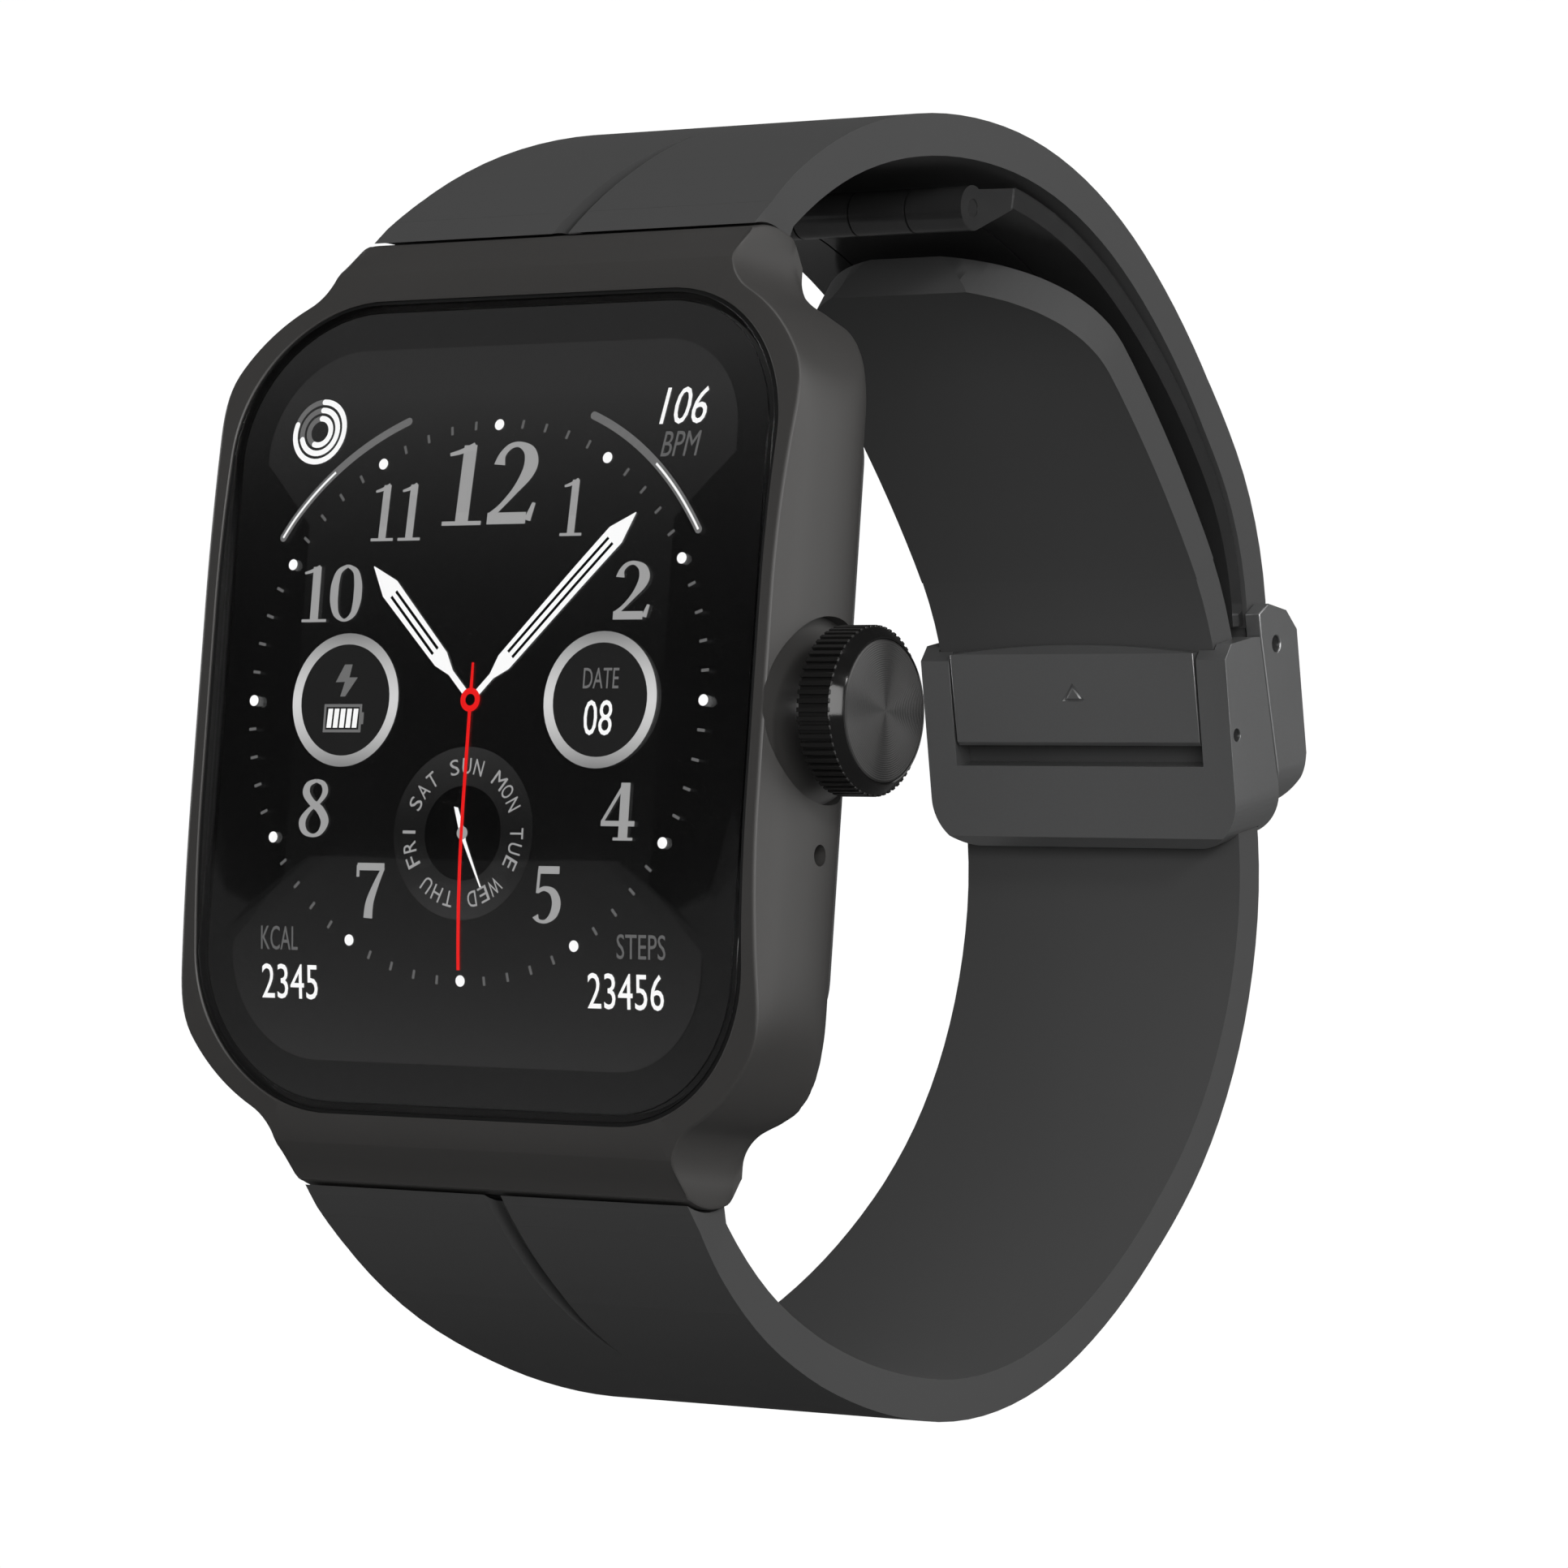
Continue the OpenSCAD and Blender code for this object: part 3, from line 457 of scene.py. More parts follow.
@dataclass(frozen=True)
class ClearGlass:
    """Polished cover glass."""

    name: str = "cover_glass_clear"

    def material(self) -> bpy.types.Material:
        """The material, made once."""
        made = bpy.data.materials.get(self.name)
        if made is None:
            made, bench, shader = new_material(self.name)
            shader.inputs["Base Color"].default_value = (0.97, 0.97, 0.97, 1)
            shader.inputs["Transmission Weight"].default_value = 1.0
            shader.inputs["IOR"].default_value = 1.42
            coords = bench.add("ShaderNodeTexCoord").outputs["Object"]
            smear = bench.add("ShaderNodeTexNoise", i_Vector=coords, i_Scale=60.0, i_Detail=2.0)
            rough = bench.math("MULTIPLY", smear.outputs[0], 0.05)
            bench.link(rough, shader.inputs["Roughness"])
        return made


def grey(level: int, warm: float = 0.0) -> Colour:
    """A linear grey from a display level of 0 to 255, a little warm or cold."""
    v = (level / 255) ** 2.2
    return (v * (1 + warm), v, v * (1 - warm))


GUNMETAL = Finish("gunmetal_coating", grey(52, 0.04), grey(60, 0.04), 0.5, 0.05, 0.2, 9.0, 0.12)
# Polished finish on the front fillet; its lighter colour is a painted highlight along the front edge.
EDGE_HIGHLIGHT_COAT = Finish("polished_edge_painted_highlight", grey(96, 0.03), grey(104, 0.03), 0.2, 0.04, 0.8, 9.0, 0.05)
RUBBER = Finish("strap_rubber", grey(34), grey(40), 0.62, 0.06, 0.0, 7.0, 0.35, specular=0.4, sheen=0.06)
CLASP_COAT = Finish("clasp_coating", grey(136), grey(148, -0.01), 0.3, 0.05, 0.85, 9.0, 0.10)
BLADE_COAT = Finish("blade_coating", grey(84), grey(94), 0.18, 0.05, 0.85, 3.0, 0.14, stretch=(1.0, 0.2, 0.2))
KNURL_COAT = Finish("knurl_coating", grey(36, 0.03), grey(44, 0.03), 0.24, 0.05, 0.55, 10.0, 0.08)
CHAMFER_COAT = Finish("chamfer_coating", grey(38, 0.02), grey(44, 0.02), 0.10, 0.03, 0.7, 12.0, 0.02)
# The cap's colour is painted sheen: lighter between four darker rays that stand for the turned face's reflection.
CAP_PAINTED_SHEEN_COAT = TurnedPaintedSheenFinish("cap_turned_painted_sheen", grey(58, 0.02), grey(34, 0.02), 0.34, 0.04, 0.35, 9.0, 0.35)
SEAL = Finish("seal_silicone", grey(10), grey(14), 0.55, 0.05, 0.0, 6.0, 0.2)
# The display's black border glows grey towards both ends: painted light, since the border gives none.
BLACK_STACK_PAINTED_LIGHT = Lit("display_border_painted_light", grey(0), grey(42), 21.5, centre_z=-3.0, power=3.4)
STEEL = Finish("turned_steel", (0.42, 0.42, 0.43), (0.5, 0.5, 0.5), 0.3, 0.06, 1.0, 5.0, 0.15,
               stretch=(1, 1, 0.1))
# Steel pins coloured near-black: painted shade in the pin holes.
PIN_END_PAINTED_SHADE = Finish("pin_end_painted_shade", grey(5), grey(9), 0.4, 0.05, 0.3, 8.0, 0.1)
SHEET = Finish("sheet_steel", (0.5, 0.51, 0.53), (0.58, 0.58, 0.6), 0.35, 0.06, 1.0, 3.0, 0.2,
               stretch=(1, 1, 0.05))
FOIL = Finish("battery_foil", (0.25, 0.31, 0.37), (0.3, 0.36, 0.42), 0.42, 0.08, 0.6, 1.2, 0.6)
BOARD = BoardFinish("solder_mask", (0.01, 0.085, 0.045), (0.03, 0.17, 0.09), 0.35, 0.05, 0.0, 3.0, 0.2)
INNER_BLACK = Finish("moulded_black", grey(40), grey(48), 0.6, 0.06, 0.0, 5.0, 0.3)
BACK_PLASTIC = Finish("back_plastic", grey(36), grey(42), 0.52, 0.05, 0.0, 8.0, 0.3)
SENSOR = Finish("sensor_window", (0.006, 0.006, 0.008), (0.01, 0.01, 0.012), 0.06, 0.02, 0.0, 1.0, 0.02,
                coat=0.6)
GOLD = Finish("gold_plate", (0.78, 0.55, 0.22), (0.85, 0.62, 0.28), 0.25, 0.05, 1.0, 4.0, 0.1)
LED = Finish("led_lens", (0.2, 0.55, 0.18), (0.3, 0.7, 0.28), 0.15, 0.03, 0.0, 2.0, 0.05, coat=0.5)
MAGNET = Finish("magnet_nickel", (0.55, 0.54, 0.52), (0.62, 0.61, 0.6), 0.22, 0.05, 1.0, 4.0, 0.08)

PRINT_WHITE = Lit("print_white", grey(255))
PRINT_NUMERAL = Lit("print_numeral", grey(158))
PRINT_MID = Lit("print_mid", grey(110))
PRINT_DIM = Lit("print_dim", grey(98))
PRINT_RED = Lit("print_red", (0.83, 0.01, 0.01))
PRINT_DISC = Lit("print_disc", grey(34))
PRINT_BLACK = Lit("print_black", grey(4))
LIT_AREA = Lit("lit_area", grey(12), grey(50), 18.7, centre_z=-2.5, power=2.6)
SILVER_RING = Lit("print_silver", grey(212), grey(128), 3.5, power=1.5)
DAY_RING = Lit("print_day_ring", grey(26), grey(48), 4.5, centre_z=-6.85, power=1.5)


# ---------------------------------------------------------------- repeated shapes
class Repeat(Enum):
    """What a ring of repeated shapes is made of."""

    BAR = "bar"
    DOT = "dot"


def ring_tree(shape: Repeat) -> bpy.types.NodeTree:
    """A Geometry Nodes tree that sets shapes round a circle in the X-Y plane of its own frame.

    Args:
        shape: a bar is a box that points away from the middle, a dot is a short cylinder.

    Returns:
        The tree, with inputs Count, Skip every, Radius, Length, Width, Depth and Finish.
    """
    tree = bpy.data.node_groups.new("ring_of_" + shape.value, "GeometryNodeTree")
    for label, kind, default in (("Count", "NodeSocketInt", 60), ("Skip every", "NodeSocketInt", 0),
                                 ("Radius", "NodeSocketFloat", 1.0), ("Length", "NodeSocketFloat", 1.0),
                                 ("Width", "NodeSocketFloat", 1.0), ("Depth", "NodeSocketFloat", 1.0)):
        tree.interface.new_socket(label, in_out="INPUT", socket_type=kind).default_value = default
    tree.interface.new_socket("Finish", in_out="INPUT", socket_type="NodeSocketMaterial")
    tree.interface.new_socket("Geometry", in_out="OUTPUT", socket_type="NodeSocketGeometry")
    bench = NodeBench(tree)
    given = bench.add("NodeGroupInput").outputs
    circle = bench.add("GeometryNodeMeshCircle", i_Vertices=given["Count"], i_Radius=given["Radius"])
    if shape is Repeat.BAR:
        size = bench.add("ShaderNodeCombineXYZ", i_X=given["Length"], i_Y=given["Width"], i_Z=given["Depth"])
        item = bench.add("GeometryNodeMeshCube", i_Size=size.outputs[0])
    else:
        item = bench.add("GeometryNodeMeshCylinder", i_Vertices=24, i_Radius=given["Width"],
                         i_Depth=given["Depth"])
    place_node = bench.add("GeometryNodeInputPosition").outputs[0]
    turn = bench.add("FunctionNodeAlignRotationToVector", axis="X", i_Vector=place_node)
    index = bench.add("GeometryNodeInputIndex").outputs[0]
    rest = bench.math("MODULO", index, bench.math("MAXIMUM", given["Skip every"], 1.0))
    kept = bench.math("ADD", rest, bench.math("LESS_THAN", given["Skip every"], 1.0))
    chosen = bench.add("FunctionNodeCompare", data_type="FLOAT", operation="GREATER_THAN", i_0=kept, i_1=0.5)
    on_points = bench.add("GeometryNodeInstanceOnPoints", i_Points=circle.outputs[0], i_Instance=item.outputs[0],
                          i_Rotation=turn.outputs[0], i_Selection=chosen.outputs[0])
    real = bench.add("GeometryNodeRealizeInstances", i_Geometry=on_points.outputs[0])
    dressed = bench.add("GeometryNodeSetMaterial", i_Geometry=real.outputs[0], i_Material=given["Finish"])
    out = bench.add("NodeGroupOutput")
    bench.link(dressed.outputs[0], out.inputs["Geometry"])
    return tree


def ring_mesh(shape: Repeat, finish: object, **sizes: float) -> bpy.types.Mesh:
    """The plain mesh of a ring of repeated shapes, in millimetres in its own frame.

    Args:
        shape: bars or dots.
        finish: the finish of the shapes.
        **sizes: values for the tree's inputs, with underscores for spaces.

    Returns:
        The realized mesh.
    """
    holder = bpy.data.objects.new("ring_holder", bpy.data.meshes.new("ring_holder"))
    bpy.context.scene.collection.objects.link(holder)
    tree = ring_tree(shape)
    modifier = holder.modifiers.new("ring", "NODES")
    modifier.node_group = tree
    sockets = {item.name: item.identifier for item in tree.interface.items_tree if item.in_out == "INPUT"}
    for label, value in sizes.items():
        modifier[sockets[label.replace("_", " ")]] = value
    modifier[sockets["Finish"]] = finish.material()
    mesh = applied(holder)
    bpy.data.objects.remove(holder)
    return mesh


# ---------------------------------------------------------------- print on the dial
class Layer:
    """Flat printed shapes of one colour, laid on the domed front as thin closed plates."""

    def __init__(self, name: str, finish: Lit, depth: float, thick: float = 0.008) -> None:
        """Starts an empty layer.

        Args:
            name: the piece's name.
            finish: its light.
            depth: how far its face lies behind the front of the glass.
            thick: thickness of the plates.
        """
        self.name, self.finish, self.depth, self.thick = name, finish, depth, thick
        self.verts: list[Point3] = []
        self.faces: list[Face] = []

    def strip(self, pairs: Sequence[tuple[Point2, Point2]], closed: bool = False) -> None:
        """A plate between two edges.

        Args:
            pairs: pairs of points across it.
            closed: whether its end meets its beginning.
        """
        base, n = len(self.verts), len(pairs)
        for a, b in pairs:
            for x, z in (a, b):
                self.verts.append((x, DOME.y(z) + self.depth, z))
                self.verts.append((x, DOME.y(z) + self.depth + self.thick, z))
        for k in range(n if closed else n - 1):
            i, j = base + 4 * k, base + 4 * ((k + 1) % n)
            self.faces += [(i, i + 2, j + 2, j), (i + 1, j + 1, j + 3, i + 3), (i, j, j + 1, i + 1),
                           (i + 2, i + 3, j + 3, j + 2)]
        if not closed:
            i, j = base, base + 4 * (n - 1)
            self.faces += [(i, i + 1, i + 3, i + 2), (j, j + 2, j + 3, j + 1)]

    def disc(self, cx: float, cz: float, r: float, rx: float | None = None) -> None:
        """A disc or an ellipse.

        Args:
            cx: centre across.
            cz: centre up.
            r: radius.
            rx: half its width, if that isn't the radius.
        """
        steps = max(10, int(r * 14))
        wide = rx or r
        rows = [math.pi * (k + 0.02) / (steps + 0.04) for k in range(steps + 1)]
        self.strip([((cx - wide * math.sin(a), cz + r * math.cos(a)),
                     (cx + wide * math.sin(a), cz + r * math.cos(a))) for a in rows])

    def arc(self, cx: float, cz: float, r0: float, r1: float, start: float = 0.0,
            end: float = 360.0) -> None:
        """A band of a ring.

        Args:
            cx: centre across.
            cz: centre up.
            r0: inner radius.
            r1: outer radius.
            start: where it begins, in degrees clockwise from 12 o'clock.
            end: where it ends.
        """
        whole = abs(end - start) >= 360
        steps = max(8, int(abs(end - start) / 360 * max(40, r1 * 16)))
        marks = [math.radians(start + (end - start) * k / steps) for k in range(steps if whole else steps + 1)]
        self.strip([((cx + r0 * math.sin(a), cz + r0 * math.cos(a)),
                     (cx + r1 * math.sin(a), cz + r1 * math.cos(a))) for a in marks], closed=whole)

    def round_arc(self, cx: float, cz: float, r: float, w: float, start: float, end: float) -> None:
        """A band of a ring with round ends.

        Args:
            cx: centre across.
            cz: centre up.
            r: radius of its middle line.
            w: its width.
            start: where it begins, in degrees clockwise from 12 o'clock.
            end: where it ends.
        """
        self.arc(cx, cz, r - w / 2, r + w / 2, start, end)
        for a in (math.radians(start), math.radians(end)):
            self.disc(cx + r * math.sin(a), cz + r * math.cos(a), w / 2)

    def brush(self, at: Callable[[float, float], Point2], stroke: Sequence[Point3],
              steps: int = 6) -> None:
        """A stroke whose width varies.

        Args:
            at: gives the place on the dial of a point in the letter's own box.
            stroke: rows of x, height and width in that box.
            steps: stretches between two rows.
        """
        rows: list[Point3] = []
        last = len(stroke) - 1
        for k in range(last):
            p = [stroke[max(k - 1, 0)], stroke[k], stroke[k + 1], stroke[min(k + 2, last)]]
            count = 1 if last == 1 else steps
            for s in range(count):
                t = s / count
                rows.append(tuple(0.5 * (2 * p[1][c] + (p[2][c] - p[0][c]) * t
                                         + (2 * p[0][c] - 5 * p[1][c] + 4 * p[2][c] - p[3][c]) * t * t
                                         + (3 * p[1][c] - p[0][c] - 3 * p[2][c] + p[3][c]) * t ** 3)
                                  for c in range(3)))
        rows.append(tuple(stroke[-1]))
        pairs = []
        for k, (x, y, w) in enumerate(rows):
            ahead, behind = rows[min(k + 1, len(rows) - 1)], rows[max(k - 1, 0)]
            dx, dy = ahead[0] - behind[0], ahead[1] - behind[1]
            length = math.hypot(dx, dy) or 1.0
            nx, ny = -dy / length * w / 2, dx / length * w / 2
            pairs.append((at(x + nx, y + ny), at(x - nx, y - ny)))
        self.strip(pairs)

    def text(self, words: str, x: float, z: float, height: float, width: float, bold: float = 0.0,
             slant: float = 0.0, turn: float = 0.0) -> None:
        """Plain condensed letters, centred, fitted to a height and a width.

        Args:
            words: what is printed.
            x: centre across.
            z: centre up.
            height: height of a capital.
            width: width over all.
            bold: how far the strokes are thickened, as a part of the height.
            slant: how far the top leans to the right.
            turn: clockwise turn in degrees.
        """
        curve = bpy.data.curves.new(self.name, "FONT")
        curve.body, curve.offset, curve.extrude, curve.resolution_u = words, bold, 0.01, 3
        holder = bpy.data.objects.new("words", curve)
        bpy.context.scene.collection.objects.link(holder)
        mesh = applied(holder)
        bpy.data.objects.remove(holder)
        xs, ys = [v.co.x for v in mesh.vertices], [v.co.y for v in mesh.vertices]
        mid_x, mid_y = (min(xs) + max(xs)) / 2, (min(ys) + max(ys)) / 2
        sx, sy = width / (max(xs) - min(xs)), height / (max(ys) - min(ys))
        c, s = math.cos(math.radians(turn)), math.sin(math.radians(turn))

        def at(co: Vector) -> Point2:
            """The place on the dial of a point of the curve."""
            px, pz = (co.x - mid_x) * sx, (co.y - mid_y) * sy
            px += slant * pz
            return (x + px * c + pz * s, z - px * s + pz * c)

        self.lay(mesh, at)

    def lay(self, mesh: bpy.types.Mesh, at: Callable[[Vector], Point2]) -> None:
        """Adds a plate's mesh to the layer and removes the mesh.

        Args:
            mesh: the plate, with its front at positive z.
            at: gives the place on the dial of one of its points.
        """
        base = len(self.verts)
        for v in mesh.vertices:
            x, z = at(v.co)
            self.verts.append((x, DOME.y(z) + self.depth + (0.0 if v.co.z > 0 else self.thick), z))
        self.faces += [tuple(base + i for i in p.vertices) for p in mesh.polygons]
        bpy.data.meshes.remove(mesh)

    def take_ring(self, shape: Repeat, **sizes: float) -> None:
        """Lays a ring of repeated shapes on the dial."""
        self.lay(ring_mesh(shape, self.finish, **sizes), lambda co: (co.y, co.x))

    def build(self) -> bpy.types.Object:
        """The layer as a piece on the case."""
        obj = make_object(self.name, self.verts, self.faces, self.finish, 30.0)
        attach(obj, "case")
        log.info("%s: %d faces", self.name, len(self.faces))
        return obj


# Numerals as brush strokes in a box one unit high: rows of x, height and stroke width
SERIF: dict[str, list[list[Point3]]] = {
    "0": [[(0.30, 0.98, 0.05), (0.15, 0.88, 0.10), (0.09, 0.68, 0.14), (0.08, 0.50, 0.15), (0.09, 0.32, 0.14),
           (0.15, 0.12, 0.10), (0.30, 0.02, 0.05), (0.45, 0.12, 0.10), (0.51, 0.32, 0.14), (0.52, 0.50, 0.15),
           (0.51, 0.68, 0.14), (0.45, 0.88, 0.10), (0.30, 0.98, 0.05)]],
    "1": [[(0.29, 0.04, 0.15), (0.29, 0.97, 0.15)], [(0.06, 0.86, 0.04), (0.20, 0.90, 0.06), (0.34, 0.98, 0.05)],
          [(0.06, 0.02, 0.05), (0.52, 0.02, 0.05)]],
    "2": [[(0.10, 0.72, 0.13), (0.12, 0.84, 0.08), (0.20, 0.94, 0.07), (0.31, 0.96, 0.07), (0.43, 0.88, 0.13),
           (0.47, 0.73, 0.16), (0.43, 0.58, 0.14), (0.32, 0.40, 0.08), (0.18, 0.22, 0.06), (0.06, 0.10, 0.08)],
          [(0.03, 0.07, 0.14), (0.48, 0.07, 0.14)], [(0.50, 0.04, 0.08), (0.56, 0.25, 0.04)]],
    "4": [[(0.40, 0.04, 0.15), (0.40, 0.97, 0.15)], [(0.38, 0.95, 0.05), (0.05, 0.30, 0.05)],
          [(0.03, 0.28, 0.09), (0.58, 0.28, 0.09)], [(0.24, 0.02, 0.05), (0.56, 0.02, 0.05)]],
    "5": [[(0.12, 0.92, 0.13), (0.51, 0.92, 0.13)], [(0.14, 0.94, 0.05), (0.11, 0.52, 0.05)],
          [(0.11, 0.54, 0.06), (0.24, 0.60, 0.08), (0.40, 0.54, 0.13), (0.47, 0.36, 0.16), (0.42, 0.16, 0.14),
           (0.28, 0.04, 0.07), (0.14, 0.05, 0.06), (0.08, 0.13, 0.12)]],
    "7": [[(0.05, 0.92, 0.13), (0.54, 0.92, 0.13)], [(0.06, 0.95, 0.05), (0.06, 0.74, 0.05)],
          [(0.52, 0.90, 0.06), (0.40, 0.62, 0.10), (0.29, 0.30, 0.14), (0.26, 0.02, 0.16)]],
    "8": [[(0.30, 0.98, 0.06), (0.16, 0.91, 0.10), (0.13, 0.76, 0.13), (0.24, 0.60, 0.12), (0.40, 0.47, 0.14),
           (0.50, 0.27, 0.14), (0.43, 0.08, 0.09), (0.29, 0.02, 0.06), (0.14, 0.09, 0.10), (0.09, 0.27, 0.12),
           (0.20, 0.46, 0.08), (0.37, 0.60, 0.07), (0.47, 0.77, 0.10), (0.43, 0.92, 0.09), (0.30, 0.98, 0.06)]],
}


@dataclass
class Dial:
    """Everything the display shows."""

    face: float = 0.16
    hour_r: float = 14.4
    numeral: list[tuple[str, float, float, float, float]] = field(default_factory=lambda: [
        ("12", -0.05, 11.3, 4.35, 5.9), ("1", 5.45, 9.95, 3.0, 1.55), ("2", 9.6, 5.6, 3.0, 2.1),
        ("4", 9.65, -5.6, 3.0, 1.95), ("5", 5.5, -9.9, 2.95, 1.75), ("7", -5.85, -9.9, 2.95, 1.85),
        ("8", -9.8, -5.65, 3.0, 1.9), ("10", -9.75, 5.65, 3.0, 3.85), ("11", -5.8, 9.9, 3.05, 3.4)])
    print_step: float = 0.012

    def layer(self, name: str, finish: Lit, level: int) -> Layer:
        """An empty layer, the given number of steps in front of the lit area."""
        return Layer(name, finish, self.face - level * self.print_step)

    def numerals(self) -> None:
        """Nine serif numerals."""
        layer = self.layer("dial_numerals", PRINT_NUMERAL, 2)
        for figures, cx, cz, height, width in self.numeral:
            pitch = 0.56
            span = pitch * (len(figures) - 1) + 0.52
            scale = width / span
            for k, figure in enumerate(figures):
                def at(u: float, v: float, k: int = k) -> Point2:
                    """The place on the dial of a point in the box of figure k."""
                    return (cx + (u + k * pitch - 0.04 - span / 2) * scale, cz + (v - 0.5) * height)
                for stroke in SERIF[figure]:
                    layer.brush(at, stroke)
        layer.build()

    def scale_marks(self) -> None:
        """Minute ticks and hour dots round the dial."""
        ticks = self.layer("minute_ticks", PRINT_DIM, 1)
        ticks.take_ring(Repeat.BAR, Count=60, Skip_every=5, Radius=14.45, Length=0.46, Width=0.15,
                        Depth=0.1)
        ticks.build()
        dots = self.layer("hour_dots", PRINT_WHITE, 3)
        dots.take_ring(Repeat.DOT, Count=12, Skip_every=0, Radius=self.hour_r, Length=0.0, Width=0.29,
                       Depth=0.1)
        dots.build()

    def gauges(self) -> None:
        """Two round-ended arcs and three activity rings."""
        grey_part = self.layer("gauge_tracks", PRINT_MID, 1)
        white = self.layer("gauge_bars", PRINT_WHITE, 3)
        for side in (-1, 1):
            grey_part.round_arc(0, 0, 15.88, 0.42, side * 22.0, side * 57.0)
            white.arc(0, 0, 15.82, 15.94, side * 40.4, side * 57.0)
        for r, start, end in ((1.62, 0, 285), (1.17, 0, 250), (0.72, 0, 200)):
            grey_part.arc(-11.79, 14.33, r - 0.15, r + 0.15, end, start + 360)
            white.round_arc(-11.79, 14.33, r, 0.3, start, end)
        grey_part.build()
        white.build()

    def small_dials(self) -> None:
        """Two ringed sub-dials and the day ring."""
        ring = self.layer("sub_dial_rings", SILVER_RING, 3)
        disc = self.layer("sub_dial_discs", PRINT_DISC, 2)
        for x in (-8.29, 8.05):
            ring.arc(x, 0.02, 2.92, 3.5)
            disc.disc(x, 0.02, 2.95)
        day = self.layer("day_ring", DAY_RING, 1)
        day.arc(-0.04, -6.85, 2.42, 4.45)
        day.build()
        hole = self.layer("day_ring_middle", PRINT_BLACK, 2)
        hole.disc(-0.04, -6.85, 2.44)
        hole.build()
        ring.build()
        disc.build()
        line = self.layer("sub_dial_marks", PRINT_MID, 4)
        line.strip([((-9.62, -1.68), (-9.62, -0.2)), ((-7.12, -1.68), (-7.12, -0.2))])
        line.strip([((-7.12, -1.25), (-7.12, -0.63)), ((-6.98, -1.25), (-6.98, -0.63))])
        line.strip([((-7.95, 1.88), (-8.45, 1.88)), ((-8.1, 1.2), (-8.98, 0.95)),
                    ((-8.1, 1.2), (-8.3, 0.97))])
        line.strip([((-7.55, 1.2), (-8.3, 1.2)), ((-8.3, 0.2), (-8.62, 0.2))])
        line.text("DATE", 8.05, 1.12, 1.05, 2.2)
        line.build()
        inner = self.layer("battery_gauge_inside", PRINT_DISC, 5)
        inner.strip([((-9.47, -1.53), (-9.47, -0.35)), ((-7.27, -1.53), (-7.27, -0.35))])
        inner.build()
        white = self.layer("sub_dial_figures", PRINT_WHITE, 6)
        for k in range(5):
            x = -9.38 + k * 0.42
            white.strip([((x, -1.44), (x + 0.06, -0.44)), ((x + 0.3, -1.44), (x + 0.36, -0.44))])
        white.text("08", 8.03, -0.9, 1.8, 1.75)
        white.build()

    def words(self) -> None:
        """Figures in the corners and the days on their ring."""
        dim = self.layer("corner_labels", PRINT_DIM, 2)
        dim.text("BPM", 11.65, 13.1, 1.3, 2.2, slant=0.12)
        dim.text("KCAL", -11.83, -12.45, 1.25, 2.45)
        dim.text("STEPS", 11.36, -12.43, 1.25, 3.0)
        dim.build()
        white = self.layer("corner_figures", PRINT_WHITE, 3)
        white.text("106", 11.62, 15.1, 1.95, 2.75, slant=0.12)
        white.text("2345", -11.15, -14.7, 1.8, 3.7)
        white.text("23456", 10.4, -14.68, 1.8, 4.7)
        white.build()
        days = self.layer("day_letters", PRINT_NUMERAL, 3)
        for k, day in enumerate(("SUN", "MON", "TUE", "WED", "THU", "FRI", "SAT")):
            for step, letter in zip((-1, 0, 1), day):
                turn = k * 360 / 7 + step * 13.0
                a = math.radians(turn)
                narrow = 0.16 if letter == "I" else (0.78 if letter in "MW" else 0.56)
                days.text(letter, -0.04 + 3.45 * math.sin(a), -6.85 + 3.45 * math.cos(a), 0.82, narrow,
                          turn=turn)
        days.build()

    def hand(self, layer: Layer, slot: Layer, angle: float, neck: float, wide: float, tip: float) -> None:
        """A sword hand with a slot.

        Args:
            layer: where the hand is printed.
            slot: where its slot is printed.
            angle: degrees clockwise from 12 o'clock.
            neck: where the blade begins.
            wide: where the blade is widest.
            tip: its length.
        """
        c, s = math.cos(math.radians(angle)), math.sin(math.radians(angle))

        def at(side: float, along: float) -> Point2:
            """The place on the dial of a point beside the hand's middle line."""
            return (-0.08 + along * s + side * c, along * c - side * s)

        rows = [(0.17, 0.0), (0.17, neck - 1.0), (0.5, neck), (0.5, neck + 0.2)]
        rows += [(0.5 + 0.09 * t / 8, neck + (wide - neck) * t / 8) for t in range(1, 9)]
        rows += [(0.02, tip)]
        layer.strip([(at(-w, d), at(w, d)) for w, d in rows])
        inner = [neck + 0.55 + (wide - neck - 0.95) * t / 8 for t in range(9)]
        for side in (-0.2, 0.2):
            slot.strip([(at(side - 0.08, d), at(side + 0.08, d)) for d in inner])

    def hands(self) -> None:
        """Hour, minute and seconds hands and the small day hand."""
        white = self.layer("hands_white", PRINT_WHITE, 7)
        slots = self.layer("hand_slots", PRINT_BLACK, 8)
        self.hand(white, slots, -44.6, 3.0, 8.2, 9.85)
        self.hand(white, slots, 44.8, 2.75, 11.9, 13.5)
        white.strip([((-0.66, -5.5), (-0.4, -5.55)), ((-0.3, -6.6), (0.1, -6.7)), ((0.02, -7.3), (0.22, -7.24)),
                     ((1.22, -9.62), (1.3, -9.6))])
        white.build()
        slots.build()
        pivot = self.layer("day_hand_pivot", PRINT_NUMERAL, 8)
        pivot.disc(-0.04, -6.85, 0.34)
        pivot.build()
        red = self.layer("seconds_hand", PRINT_RED, 9)
        red.strip([((-0.16, 1.95), (-0.02, 1.95)), ((-0.19, 0.5), (0.01, 0.5))])
        red.strip([((-0.19, -0.5 - 1.67 * k), (0.01, -0.5 - 1.67 * k)) for k in range(9)])
        red.arc(-0.1, 0.02, 0.3, 0.62)
        red.build()
        hub = self.layer("hub_middle", PRINT_BLACK, 9)
        hub.disc(-0.1, 0.02, 0.31)
        hub.build()

    def build(self) -> None:
        """Prints every layer."""
        self.numerals()
        self.scale_marks()
        self.gauges()
        self.small_dials()
        self.words()
        self.hands()


